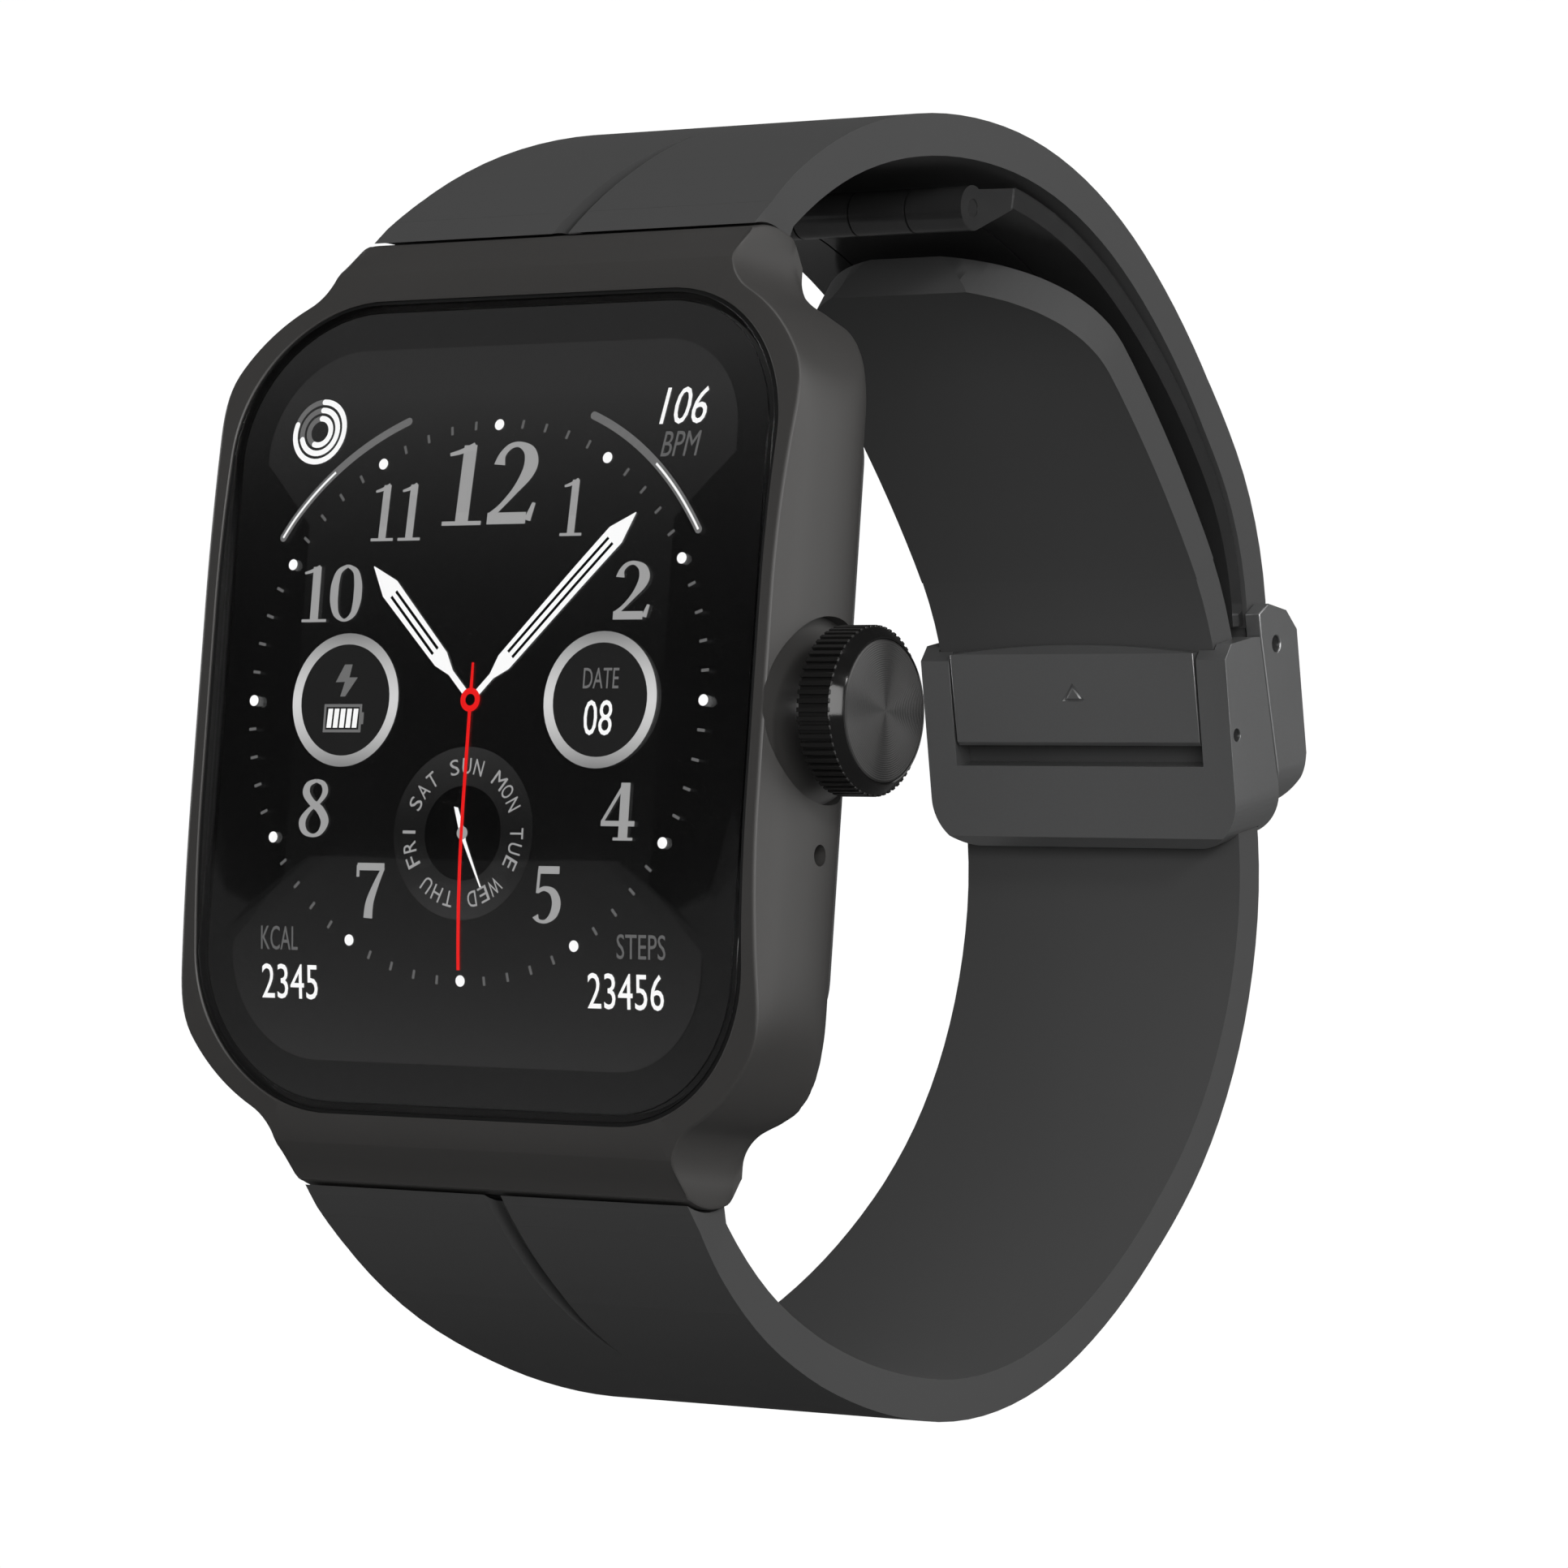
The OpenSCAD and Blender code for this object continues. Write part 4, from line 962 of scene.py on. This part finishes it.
# ---------------------------------------------------------------- sub-assemblies
def rounded_outline(w: float, h: float, r: float, steps: int = 14) -> list[Point2]:
    """Points round a rectangle with round corners.

    Args:
        w: width.
        h: height.
        r: corner radius.
        steps: stretches in each corner.

    Returns:
        The points, anticlockwise from the lower end of the top right corner.
    """
    points = []
    for k, (sx, sz) in enumerate(((1, 1), (-1, 1), (-1, -1), (1, -1))):
        for i in range(steps + 1):
            a = math.pi / 2 * (k + i / steps)
            points.append((sx * (w / 2 - r) + r * math.cos(a), sz * (h / 2 - r) + r * math.sin(a)))
    return points


@dataclass
class Front:
    """Cover glass, the display stack behind it and the lit area."""

    glass_w: float = 34.5
    glass_h: float = 42.5
    glass_r: float = 8.0
    lit_w: float = 30.0
    lit_h: float = 37.4
    lit_r: float = 5.4
    skin: float = 0.14
    stack: float = 1.6
    edge: float = 0.04

    def plate(self, name: str, finish: object, w: float, h: float, r: float,
              levels: Sequence[tuple[float, float]]) -> bpy.types.Object:
        """A domed plate with round corners.

        Args:
            name: the piece's name.
            finish: what it is made of.
            w: width.
            h: height.
            r: corner radius.
            levels: rows of inset and depth round the edge, from the front's edge to the back's.

        Returns:
            The piece.
        """
        verts: list[Point3] = []
        faces: list[Face] = []
        scales = [0.0, 0.12, 0.25, 0.38, 0.5, 0.61, 0.72, 0.82, 0.91, 1.0]
        outline = rounded_outline(w, h, r)
        n = len(outline)

        def add_ring(inset: float, depth: float, scale: float) -> None:
            """Adds one ring of points, drawn in by an inset and scaled about the middle."""
            for x, z in rounded_outline(w - 2 * inset, h - 2 * inset, r - inset):
                verts.append((x * scale, DOME.y(z * scale) + depth, z * scale))

        front, back = levels[0], levels[-1]
        for scale in scales[1:]:
            add_ring(front[0], front[1], scale)
        for inset, depth in levels[1:]:
            add_ring(inset, depth, 1.0)
        for scale in reversed(scales[1:-1]):
            add_ring(back[0], back[1], scale)
        rings = len(verts) // n
        for k in range(rings - 1):
            for i in range(n):
                j = (i + 1) % n
                faces.append((k * n + i, k * n + j, (k + 1) * n + j, (k + 1) * n + i))
        faces.append(tuple(reversed(range(n))))
        faces.append(tuple((rings - 1) * n + i for i in range(n)))
        return make_object(name, verts, faces, finish, 50.0)

    def build(self) -> None:
        """Makes the three pieces."""
        e, t = self.edge, self.skin
        levels = [(e, 0.0)] + [(e * (1 - math.sin(a)), e * 0.8 * (1 - math.cos(a)))
                               for a in (math.pi / 2 * k / 4 for k in range(1, 5))] + [(0.0, 0.3), (0.4, 0.3),
                                                                                       (0.42, t)]
        glass = self.plate("cover_glass_lens", ClearGlass(), self.glass_w, self.glass_h, self.glass_r, levels)
        glass.data.materials.append(SEAL.material())
        for polygon in glass.data.polygons:
            polygon.material_index = int(abs(polygon.normal.y) < 0.6)
        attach(glass, "case")
        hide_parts("cover_glass")
        # The border's grey glow towards the ends is painted light.
        stack = self.plate("display_stack", BLACK_STACK_PAINTED_LIGHT, self.glass_w - 1.0, self.glass_h - 1.0,
                           self.glass_r - 0.5, [(0.0, 0.26), (0.0, 0.4), (0.0, 1.0), (1.0, 1.0), (1.0, self.stack)])
        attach(stack, "case")
        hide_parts("display_panel")
        lit = self.plate("lit_area", LIT_AREA, self.lit_w, self.lit_h, self.lit_r, [(0.0, 0.18), (0.0, 0.2)])
        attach(lit, "case")
        seal = frame["nodes"]["glass_gasket"]
        seal.data.materials.clear()
        seal.data.materials.append(SEAL.material())


def closed_faces(rings: int, around: int) -> list[Face]:
    """Faces between rings of points, where the last ring meets the first.

    Args:
        rings: how many rings there are.
        around: points in each ring.

    Returns:
        The faces, as rows of indices.
    """
    return [(i * around + k, i * around + (k + 1) % around, ((i + 1) % rings) * around + (k + 1) % around,
             ((i + 1) % rings) * around + k) for i in range(rings) for k in range(around)]


def blend_curve(rows: Sequence[Point2], v: float) -> float:
    """Value of a smooth curve.

    Args:
        rows: rows of place and value that it runs through.
        v: the place.

    Returns:
        The value there.
    """
    if v <= rows[0][0]:
        return rows[0][1]
    for k in range(len(rows) - 1):
        (a, fa), (b, fb) = rows[k], rows[k + 1]
        if v <= b:
            before, after = rows[max(k - 1, 0)], rows[min(k + 2, len(rows) - 1)]
            ma = (fb - before[1]) / (b - before[0])
            mb = (after[1] - fa) / (after[0] - a)
            t, h = (v - a) / (b - a), b - a
            return ((2 * t ** 3 - 3 * t * t + 1) * fa + (t ** 3 - 2 * t * t + t) * h * ma
                    + (3 * t * t - 2 * t ** 3) * fb + (t ** 3 - t * t) * h * mb)
    return rows[-1][1]


def smoothstep(a: float, b: float, v: float) -> float:
    """A smooth step.

    Args:
        a: where it begins.
        b: where it ends.
        v: the place asked for.

    Returns:
        0 below a, 1 above b, and a smooth value between.
    """
    t = min(max((v - a) / (b - a), 0.0), 1.0)
    return t * t * (3 - 2 * t)


@dataclass
class CaseShell:
    """The metal case and everything fixed in it."""

    half_w: float = 19.4
    soft: float = 0.8
    corner_r: float = 9.95
    corner_z: float = 12.5
    bar_half: float = 12.6
    bar_end: float = 24.92
    bar_root: float = 20.0
    bevel_z: float = 23.0
    bevel_y: float = 2.1
    neck_r: float = 3.0
    back_y: float = 6.6
    fillet: float = 0.16
    pivot: tuple[float, float] = (3.95, 20.275)
    nose_r: float = 5.0
    crown_y: float = 2.3
    mic_z: float = 7.3
    inner: dict[str, Finish] = field(default_factory=lambda: {
        "display_bracket": SHEET, "battery": FOIL, "main_board": BOARD, "shield_can": SHEET,
        "vibration_motor": STEEL, "speaker": INNER_BLACK, "microphone": GOLD, "sensor_board": BOARD,
        "sensor_leds": LED, "back_gasket": SEAL, "charge_contacts": GOLD, "crown_tube": STEEL,
        "crown_switch": INNER_BLACK, "crown_stem": STEEL, "spring_bar_upper": STEEL, "spring_bar_lower": STEEL})
    widest: float = 19.0
    glass_seat: Point3 = (34.9, 42.9, 8.2)
    cavity: Point3 = (33.7, 34.6, 4.0)
    nose_y: float = 1.85
    nose_z: Point2 = (23.6, 24.7)
    back_pull: float = 1.4
    back_pull_y: float = 5.6
    # How far the side wall lies in from its widest line, by its distance behind the end bars' front
    # edges. glass_seat and cavity are a width, a height and a corner radius.
    side_inset: tuple[Point2, ...] = ((-2.43, 0.85), (-1.1, 0.34), (0.8, 0.06), (2.2, 0.0), (3.5, 0.14),
                                      (4.5, 0.52), (5.5, 1.28), (6.35, 2.42), (6.6, 3.6))

    def front_y(self, z: float) -> float:
        """Height of the front: the dome, then the bevel of an end bar."""
        if abs(z) <= self.bevel_z:
            return DOME.y(z)
        return (abs(z) - self.bevel_z) * self.bevel_y / (self.bar_end - self.bevel_z)

    def quarter(self) -> list[Row]:
        """The outline's first quarter as rows of x, z, outward normal and side weight."""
        cx = self.half_w - self.corner_r
        dz = math.sqrt((self.corner_r + self.neck_r) ** 2 - (self.bar_half + self.neck_r - cx) ** 2)
        turn = math.atan2(dz, self.bar_half + self.neck_r - cx)
        top = self.corner_z + dz
        rows = [(self.half_w, self.corner_z * k / 12, 1.0, 0.0, 1.0) for k in range(12)]
        for k in range(25):
            a = turn * k / 24
            rows.append((cx + self.corner_r * math.cos(a), self.corner_z + self.corner_r * math.sin(a),
                         math.cos(a), math.sin(a), 1.0 - smoothstep(0.5, 1.0, k / 24)))
        for k in range(1, 11):
            a = math.pi + turn * (1 - k / 10)
            rows.append((self.bar_half + self.neck_r + self.neck_r * math.cos(a),
                         top + self.neck_r * math.sin(a), -math.cos(a), -math.sin(a), 0.0))
        edge = 0.22
        rows.append((self.bar_half, self.bar_end - edge, 1.0, 0.0, 0.0))
        rows.append((self.bar_half - edge * 0.3, self.bar_end - edge * 0.3, 0.7, 0.7, 0.0))
        rows.append((self.bar_half - edge, self.bar_end, 0.0, 1.0, 0.0))
        for k in range(1, 10):
            rows.append(((self.bar_half - edge) * (1 - k / 10), self.bar_end, 0.0, 1.0, 0.0))
        return rows

    def outline(self) -> list[Row]:
        """The whole outline, mirrored from its first quarter."""
        q = self.quarter()
        middle = (0.0, self.bar_end, 0.0, 1.0, 0.0)
        right_top = q + [middle]
        left_top = [(-x, z, -nx, nz, w) for x, z, nx, nz, w in reversed(q[1:])]
        side = (-self.half_w, 0.0, -1.0, 0.0, 1.0)
        left_low = [(-x, -z, -nx, -nz, w) for x, z, nx, nz, w in q[1:]]
        right_low = [(x, -z, nx, -nz, w) for x, z, nx, nz, w in reversed(q[1:])]
        return right_top + left_top + [side] + left_low + [(0.0, -self.bar_end, 0.0, -1.0, 0.0)] + right_low

    @staticmethod
    def nearest(x: float, z: float, w: float, h: float, r: float) -> Point2:
        """The nearest point of a round-cornered rectangle.

        Args:
            x: the point's place across.
            z: the point's place up.
            w: the rectangle's width.
            h: its height.
            r: its corner radius.

        Returns:
            The point of the rectangle's edge, as x and z.
        """
        qx = min(max(x, -(w / 2 - r)), w / 2 - r)
        qz = min(max(z, -(h / 2 - r)), h / 2 - r)
        away = math.hypot(x - qx, z - qz)
        return (qx + (x - qx) / away * r, qz + (z - qz) / away * r)

    def wall(self, row: Row, y: float) -> Point2:
        """Place of the wall's outside.

        Args:
            row: the place of the outline.
            y: how far behind the end bars' front edges.

        Returns:
            The place, as x and z.
        """
        x, z = row[0], row[1]
        side = self.widest - blend_curve(self.side_inset, y)
        near = max(1 - abs(abs(x) - side) / self.soft, 0.0)
        x = math.copysign(min(abs(x), side) - near * near * self.soft / 4, x) if abs(x) > 0.01 else x
        if abs(z) > self.bar_root:
            back = self.back_pull * smoothstep(self.back_pull_y, self.back_y + 0.3, y)
            z *= (self.bar_root + (abs(z) - self.bar_root)
                  * (1 - back / (self.bar_end - self.bar_root))) / abs(z)
        if abs(row[1]) > self.nose_z[0] and abs(y - self.pivot[0]) < self.nose_y:
            nose = self.pivot[1] + math.sqrt(self.nose_r ** 2 - (y - self.pivot[0]) ** 2) - self.bar_end
            z += math.copysign(nose * smoothstep(*self.nose_z, abs(row[1])), z)
        return (x, z)

    def section(self, row: Row) -> list[Point3]:
        """Points round the wall, from the glass over the side to the inside.

        Args:
            row: the place of the outline.

        Returns:
            The points, always the same number of them.
        """
        x, z, w = row[0], row[1], row[4]
        f = self.fillet
        edge_x, edge_z = self.wall(row, self.front_y(z))
        gx, gz = self.nearest(x, z, *self.glass_seat)
        bx, bz = self.nearest(x, z, *self.cavity)
        outer = 1 - f / math.hypot(edge_x - gx, edge_z - gz)
        crease = outer - 0.1
        if abs(edge_z) > self.bevel_z:
            crease = min(max((self.bevel_z - abs(gz)) / (abs(edge_z) - abs(gz)), 0.14), crease)
        points = []
        for t in (0.0, 0.06, (crease + 0.06) / 2, crease - 0.02, crease + 0.02, (crease + outer) / 2, outer):
            px, pz = gx + (edge_x - gx) * t, gz + (edge_z - gz) * t
            drop = 0.06 if t == 0.0 else 0.0
            points.append((px, self.front_y(pz) + drop, pz))
        last = points[-1]
        start = self.front_y(edge_z) + f
        for t in (0.35, 0.7, 1.0):
            wx, wz = self.wall(row, start)
            k, rise = math.sin(math.pi / 2 * t), 1 - math.cos(math.pi / 2 * t)
            points.append((last[0] + (wx - last[0]) * k, last[1] + (start - last[1]) * rise,
                           last[2] + (wz - last[2]) * k))
        end = self.back_y
        while w > 0.5 and end > 5.0:
            ex, ez = self.wall(row, end)
            if (ex - bx) * row[2] + (ez - bz) * row[3] > 0.12:
                break
            end -= 0.02
        for k in range(1, 19):
            y = start + (end - start) * (1 - (1 - k / 18) ** 1.3)
            wx, wz = self.wall(row, y)
            points.append((wx, y, wz))
        last = points[-1]
        points.append(((last[0] + bx) / 2, end, (last[2] + bz) / 2))
        points += [(bx, end, bz), (bx, 1.1, bz), (gx, 1.0, gz)]
        return points

    def cutters(self) -> bpy.types.Object:
        """What is cut out of the shell: strap slots, crown recess, microphone and speaker holes."""
        verts: list[Point3] = []
        faces: list[Face] = []

        def prism(profile: Sequence[Point2], x0: float, x1: float) -> None:
            """Adds a straight bar along x.

            Args:
                profile: its section, in y and z.
                x0: where it begins.
                x1: where it ends.
            """
            base, n = len(verts), len(profile)
            verts.extend((x, y, z) for x in (x0, x1) for y, z in profile)
            faces.extend((base + i, base + (i + 1) % n, base + n + (i + 1) % n, base + n + i)
                         for i in range(n))
            faces.extend([tuple(base + i for i in range(n)), tuple(base + n + i for i in range(n))])

        def hole(x0: float, x1: float, z: float, r: float, steps: int = 48) -> None:
            """Adds a round bar along x at the crown's height.

            Args:
                x0: where it begins.
                x1: where it ends.
                z: its place up.
                r: its radius.
                steps: sides of its section.
            """
            turns = [2 * math.pi * i / steps for i in range(steps)]
            prism([(self.crown_y + r * math.cos(a), z + r * math.sin(a)) for a in turns], x0, x1)

        py, pz = self.pivot
        for s in (-1, 1):
            prism([(py - 1.65, s * (pz - 2.35)), (py - 1.65, s * (pz + 0.6)), (py - 1.05, s * 26.9),
                   (8.6, s * 26.9), (8.6, s * (pz - 2.35))], -9.95, 9.95)
        hole(18.1, 21.7, 0.0, 4.75, 96)
        hole(15.8, 18.3, 0.0, 1.8)
        hole(15.8, 21.8, -self.mic_z, 0.55)
        for k in range(-2, 3):
            hole(-20.0, -16.0, k * 2.2, 0.5)
        return make_object("shell_cutter", verts, faces, STEEL)

    @staticmethod
    def key(p: Vector) -> tuple[int, ...]:
        """A point's place in microns, to find it again."""
        return tuple(round(v / MM * 200) for v in p)

    @staticmethod
    def mark_cuts(mesh: bpy.types.Mesh) -> None:
        """Keeps an edge sharp where it's steep or where a cut meets the shell's own skin.

        Args:
            mesh: the cut shell; faces left by the cutter have the third material.
        """
        bm = bmesh.new()
        bm.from_mesh(mesh)
        for edge in bm.edges:
            kinds = {face.material_index == 2 for face in edge.link_faces}
            edge.smooth = len(kinds) == 1 and edge.calc_face_angle(0.0) < math.radians(30)
        for face in bm.faces:
            face.material_index %= 2
        bm.to_mesh(mesh)
        bm.free()

    def shell(self) -> None:
        """The smooth metal shell."""
        rows = self.outline()
        sections = [self.section(row) for row in rows]
        verts = [p for section in sections for p in section]
        obj = make_object("case_shell", verts, closed_faces(len(rows), len(sections[0])), GUNMETAL)
        obj.data.materials.append(EDGE_HIGHLIGHT_COAT.material())
        # The front fillet's faces take the edge coat, whose lighter colour paints a highlight along the front edge.
        bright = {self.key(place(p)) for section in sections for p in section[6:10]}
        for polygon in obj.data.polygons:
            if all(self.key(obj.data.vertices[i].co) in bright for i in polygon.vertices):
                polygon.material_index = 1
        cutter = self.cutters()
        cut = obj.modifiers.new("cut", "BOOLEAN")
        cut.object, cut.operation, cut.solver = cutter, "DIFFERENCE", "EXACT"
        cut.use_self = True
        cut.material_mode = "TRANSFER"
        mesh = applied(obj)
        obj.modifiers.clear()
        bpy.data.objects.remove(cutter)
        mesh.shade_smooth()
        self.mark_cuts(mesh)
        mesh.materials.clear()
        for finish in (GUNMETAL, EDGE_HIGHLIGHT_COAT):
            mesh.materials.append(finish.material())
        obj.data = mesh
        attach(obj, "case")
        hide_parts("case")
        log.info("case shell: %d faces", len(mesh.polygons))

    def build(self) -> None:
        """Makes the shell, rounds the back and dresses the inner parts."""
        self.shell()
        soften("back_cover", "back_cover_shell", 0.2, BACK_PLASTIC)
        soften("sensor_window", "sensor_lens", 0.12, SENSOR)
        soften("back_screws", "back_screw_heads", 0.06, STEEL)
        for node, finish in self.inner.items():
            dress(node, finish)


def dress(node: str, finish: Finish) -> None:
    """Gives a CAD node its finish."""
    mesh = frame["nodes"][node].data
    mesh.materials.clear()
    mesh.materials.append(finish.material())


@dataclass
class Crown:
    """The turning crown: a knurled drum, a chamfered ring and a turned cap."""

    axis_y: float = 2.3
    knurl_r: float = 4.3
    root_r: float = 4.12
    cap_r: float = 3.72
    teeth: int = 60

    def turned(self, name: str, profile: Sequence[Point2], finish: Finish, steps: int = 120,
               smooth: float = 30.0) -> bpy.types.Object:
        """A body turned about the crown's axis.

        Args:
            name: the piece's name.
            profile: its closed section, in x and radius.
            finish: what it is made of.
            steps: sides round the axis.
            smooth: edges sharper than this many degrees stay sharp.

        Returns:
            The piece.
        """
        verts = [(x, self.axis_y + r * math.cos(a), r * math.sin(a))
                 for a in (2 * math.pi * i / steps for i in range(steps)) for x, r in profile]
        return make_object(name, verts, closed_faces(steps, len(profile)), finish, smooth)

    def build(self) -> None:
        """Makes the drum with its teeth, the chamfer ring and the cap."""
        low, high = (v.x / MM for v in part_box("crown_head"))
        drum_end = high - 0.62
        bore = 1.1
        drum = self.turned("crown_drum", [(low, bore), (low, self.root_r - 0.1), (low + 0.1, self.root_r),
                                          (drum_end, self.root_r), (drum_end, bore)], KNURL_COAT)
        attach(drum, "crown")
        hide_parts("crown_head")
        ring = self.turned("crown_chamfer", [
            (drum_end, 2.0), (drum_end, self.root_r + 0.1), (drum_end + 0.05, self.root_r + 0.12),
            (high - 0.12, self.cap_r + 0.08), (high - 0.03, self.cap_r - 0.02), (high - 0.05, self.cap_r - 0.1),
            (high - 0.14, self.cap_r - 0.12), (high - 0.14, 2.0)], CHAMFER_COAT)
        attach(ring, "crown")
        length = drum_end + 0.1 - low - 0.05
        mesh = ring_mesh(Repeat.BAR, KNURL_COAT, Count=self.teeth, Skip_every=0, Radius=self.knurl_r - 0.13,
                         Length=0.26, Width=0.24, Depth=length)
        mid = low + 0.05 + length / 2
        verts = [(mid + v.co.z, self.axis_y + v.co.x, v.co.y) for v in mesh.vertices]
        teeth = make_object("crown_teeth", verts, [tuple(p.vertices) for p in mesh.polygons], KNURL_COAT, 30.0)
        bpy.data.meshes.remove(mesh)
        bevel = teeth.modifiers.new("round", "BEVEL")
        bevel.width, bevel.segments = 0.03 * MM, 2
        teeth.data = applied(teeth)
        teeth.modifiers.clear()
        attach(teeth, "crown")
        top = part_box("crown_cap")[1].x / MM
        r = self.cap_r - 0.14
        cap = self.turned("crown_cap_face", [
            (top - 0.55, 0.001), (top - 0.55, r), (top - 0.1, r), (top - 0.06, r - 0.05),
            (top - 0.05, r - 0.1), (top - 0.01, r * 0.6), (top, 0.001)], CAP_PAINTED_SHEEN_COAT)
        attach(cap, "crown")
        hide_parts("crown_cap")
        log.info("crown: drum, chamfer, teeth and cap")


@dataclass
class Straps:
    """Both rubber straps."""

    rounding: float = 0.3

    def build(self) -> None:
        """Rounds the straps' edges."""
        soften("strap_upper", "strap_upper_band", self.rounding, RUBBER)
        soften("strap_lower", "strap_lower_band", self.rounding, RUBBER)


@dataclass
class Clasp:
    """The clasp's blocks, latch and folding blades."""

    rounding: float = 0.6

    def build(self) -> None:
        """Rounds the clasp's parts and dresses the pins."""
        for node, name, width, finish in (
                ("outer_block", "outer_block_shell", self.rounding, CLASP_COAT),
                ("inner_block", "inner_block_shell", self.rounding, CLASP_COAT),
                ("latch", "latch_plate", 0.14, CLASP_COAT), ("fork_blade", "fork_blade_plate", 0.16, BLADE_COAT),
                ("middle_blade", "middle_blade_plate", 0.16, BLADE_COAT)):
            soften(node, name, width, finish)
        # The pins' near-black colour is painted shade in their holes.
        for node in ("strap_pin", "latch_pin", "fold_pin"):
            dress(node, PIN_END_PAINTED_SHADE)
        for node in ("outer_magnets", "inner_magnets"):
            dress(node, MAGNET)


# ---------------------------------------------------------------- studio
@dataclass
class Studio:
    """Camera, pale floor, white surroundings and soft lamps."""

    azimuth: float = 34.113
    elevation: float = -4.917
    roll: float = 3.804
    distance: float = 305.75
    shift_right: float = 14.70
    shift_up: float = -4.05
    lens: float = 135.9
    floor_drop: float = 45.0
    white: float = 1.02
    ambient: float = 0.03
    floor_shine: float = 0.12

    def axes(self) -> tuple[Vector, Vector, Vector]:
        """The view's right, up and back directions."""
        a, e, r = (math.radians(v) for v in (self.azimuth, self.elevation, self.roll))
        back = Vector((math.sin(a) * math.cos(e), -math.cos(a) * math.cos(e), math.sin(e)))
        right = Vector((math.cos(a), math.sin(a), 0.0))
        up = back.cross(right)
        return (right * math.cos(r) + up * math.sin(r), up * math.cos(r) - right * math.sin(r), back)

    def camera(self) -> None:
        """Sets the camera up."""
        right, up, back = self.axes()
        data = bpy.data.cameras.new("camera")
        data.lens, data.sensor_width = self.lens, 36.0
        data.clip_start, data.clip_end = 0.01, 20.0
        cam = bpy.data.objects.new("camera", data)
        bpy.context.scene.collection.objects.link(cam)
        at = place(back * self.distance + right * self.shift_right + up * self.shift_up)
        turn = Matrix((right, up, back)).transposed().to_4x4()
        turn.translation = at
        cam.matrix_world = turn
        bpy.context.scene.camera = cam

    def lamp(self, name: str, side: float, height: float, near: float, size: float, power: float) -> None:
        """A square soft lamp that faces the watch.

        Args:
            name: its name.
            side: millimetres from the watch to the view's right.
            height: millimetres from the watch along the view's up direction.
            near: millimetres from the watch towards the view.
            size: its side in millimetres.
            power: its power in watts.
        """
        right, up, back = self.axes()
        centre = place((0.0, 25.0, 0.0))
        at = centre + (right * side + up * height + back * near) * MM
        data = bpy.data.lights.new(name, "AREA")
        data.shape, data.size, data.energy = "SQUARE", size * MM, power
        lamp = bpy.data.objects.new(name, data)
        lamp.location = at
        lamp.rotation_mode = "QUATERNION"
        lamp.rotation_quaternion = (centre - at).to_track_quat("-Z", "Y")
        bpy.context.scene.collection.objects.link(lamp)

    def surroundings(self) -> None:
        """White behind the watch, and a softer grey for what lights it."""
        world = bpy.data.worlds.new("studio")
        world.use_nodes = True
        bpy.context.scene.world = world
        bench = NodeBench(world.node_tree)
        world.node_tree.nodes.clear()
        seen = bench.add("ShaderNodeBackground", i_Color=(1, 1, 1, 1), i_Strength=self.white)
        soft = bench.add("ShaderNodeBackground", i_Color=(1, 1, 1, 1), i_Strength=self.ambient)
        ray = bench.add("ShaderNodeLightPath").outputs["Is Camera Ray"]
        mix = bench.add("ShaderNodeMixShader", i_0=ray, i_1=soft.outputs[0], i_2=seen.outputs[0])
        bench.add("ShaderNodeOutputWorld", i_Surface=mix.outputs[0])
        bpy.context.scene.view_settings.view_transform = "Standard"

    def floor(self) -> None:
        """A plain pale floor."""
        low = CAD_BOX[0].z - self.floor_drop * MM
        half = 9.0
        mesh = bpy.data.meshes.new("floor")
        mesh.from_pydata([(-half, -half, low), (half, -half, low), (half, half, low), (-half, half, low)], [],
                         [(0, 1, 2, 3)])
        mat = bpy.data.materials.new("floor_paint")
        mat.use_nodes = True
        bench = NodeBench(mat.node_tree)
        mat.node_tree.nodes.clear()
        paint = bench.add("ShaderNodeBsdfDiffuse", i_Color=(0.42, 0.42, 0.42, 1))
        bright = bench.add("ShaderNodeEmission", i_Strength=self.white)
        even = bench.add("ShaderNodeEmission", i_Strength=self.floor_shine)
        path = bench.add("ShaderNodeLightPath")
        low_mix = bench.add("ShaderNodeMixShader", i_0=path.outputs["Is Glossy Ray"], i_1=paint.outputs[0],
                            i_2=even.outputs[0])
        mix = bench.add("ShaderNodeMixShader", i_0=path.outputs["Is Camera Ray"], i_1=low_mix.outputs[0],
                        i_2=bright.outputs[0])
        bench.add("ShaderNodeOutputMaterial", i_Surface=mix.outputs[0])
        mesh.materials.append(mat)
        obj = bpy.data.objects.new("floor", mesh)
        bpy.context.scene.collection.objects.link(obj)

    def build(self) -> None:
        """Sets the studio up."""
        self.camera()
        self.surroundings()
        self.floor()
        self.lamp("front_soft", 60, 60, 620, 460, 5.2)
        self.lamp("key_right", 520, 120, 60, 420, 1.3)
        self.lamp("edge_small", 300, 240, 380, 70, 0.9)
        self.lamp("top_soft", 60, 520, 80, 380, 1.1)
        self.lamp("left_rim", -420, 60, -260, 240, 0.8)


def main() -> None:
    """Builds the watch, sub-assembly by sub-assembly, and the studio."""
    logging.basicConfig(level=logging.INFO, format="%(message)s")
    Studio().build()
    CaseShell().build()
    Front().build()
    Dial().build()
    Crown().build()
    Straps().build()
    Clasp().build()


if __name__ == "__main__":
    main()
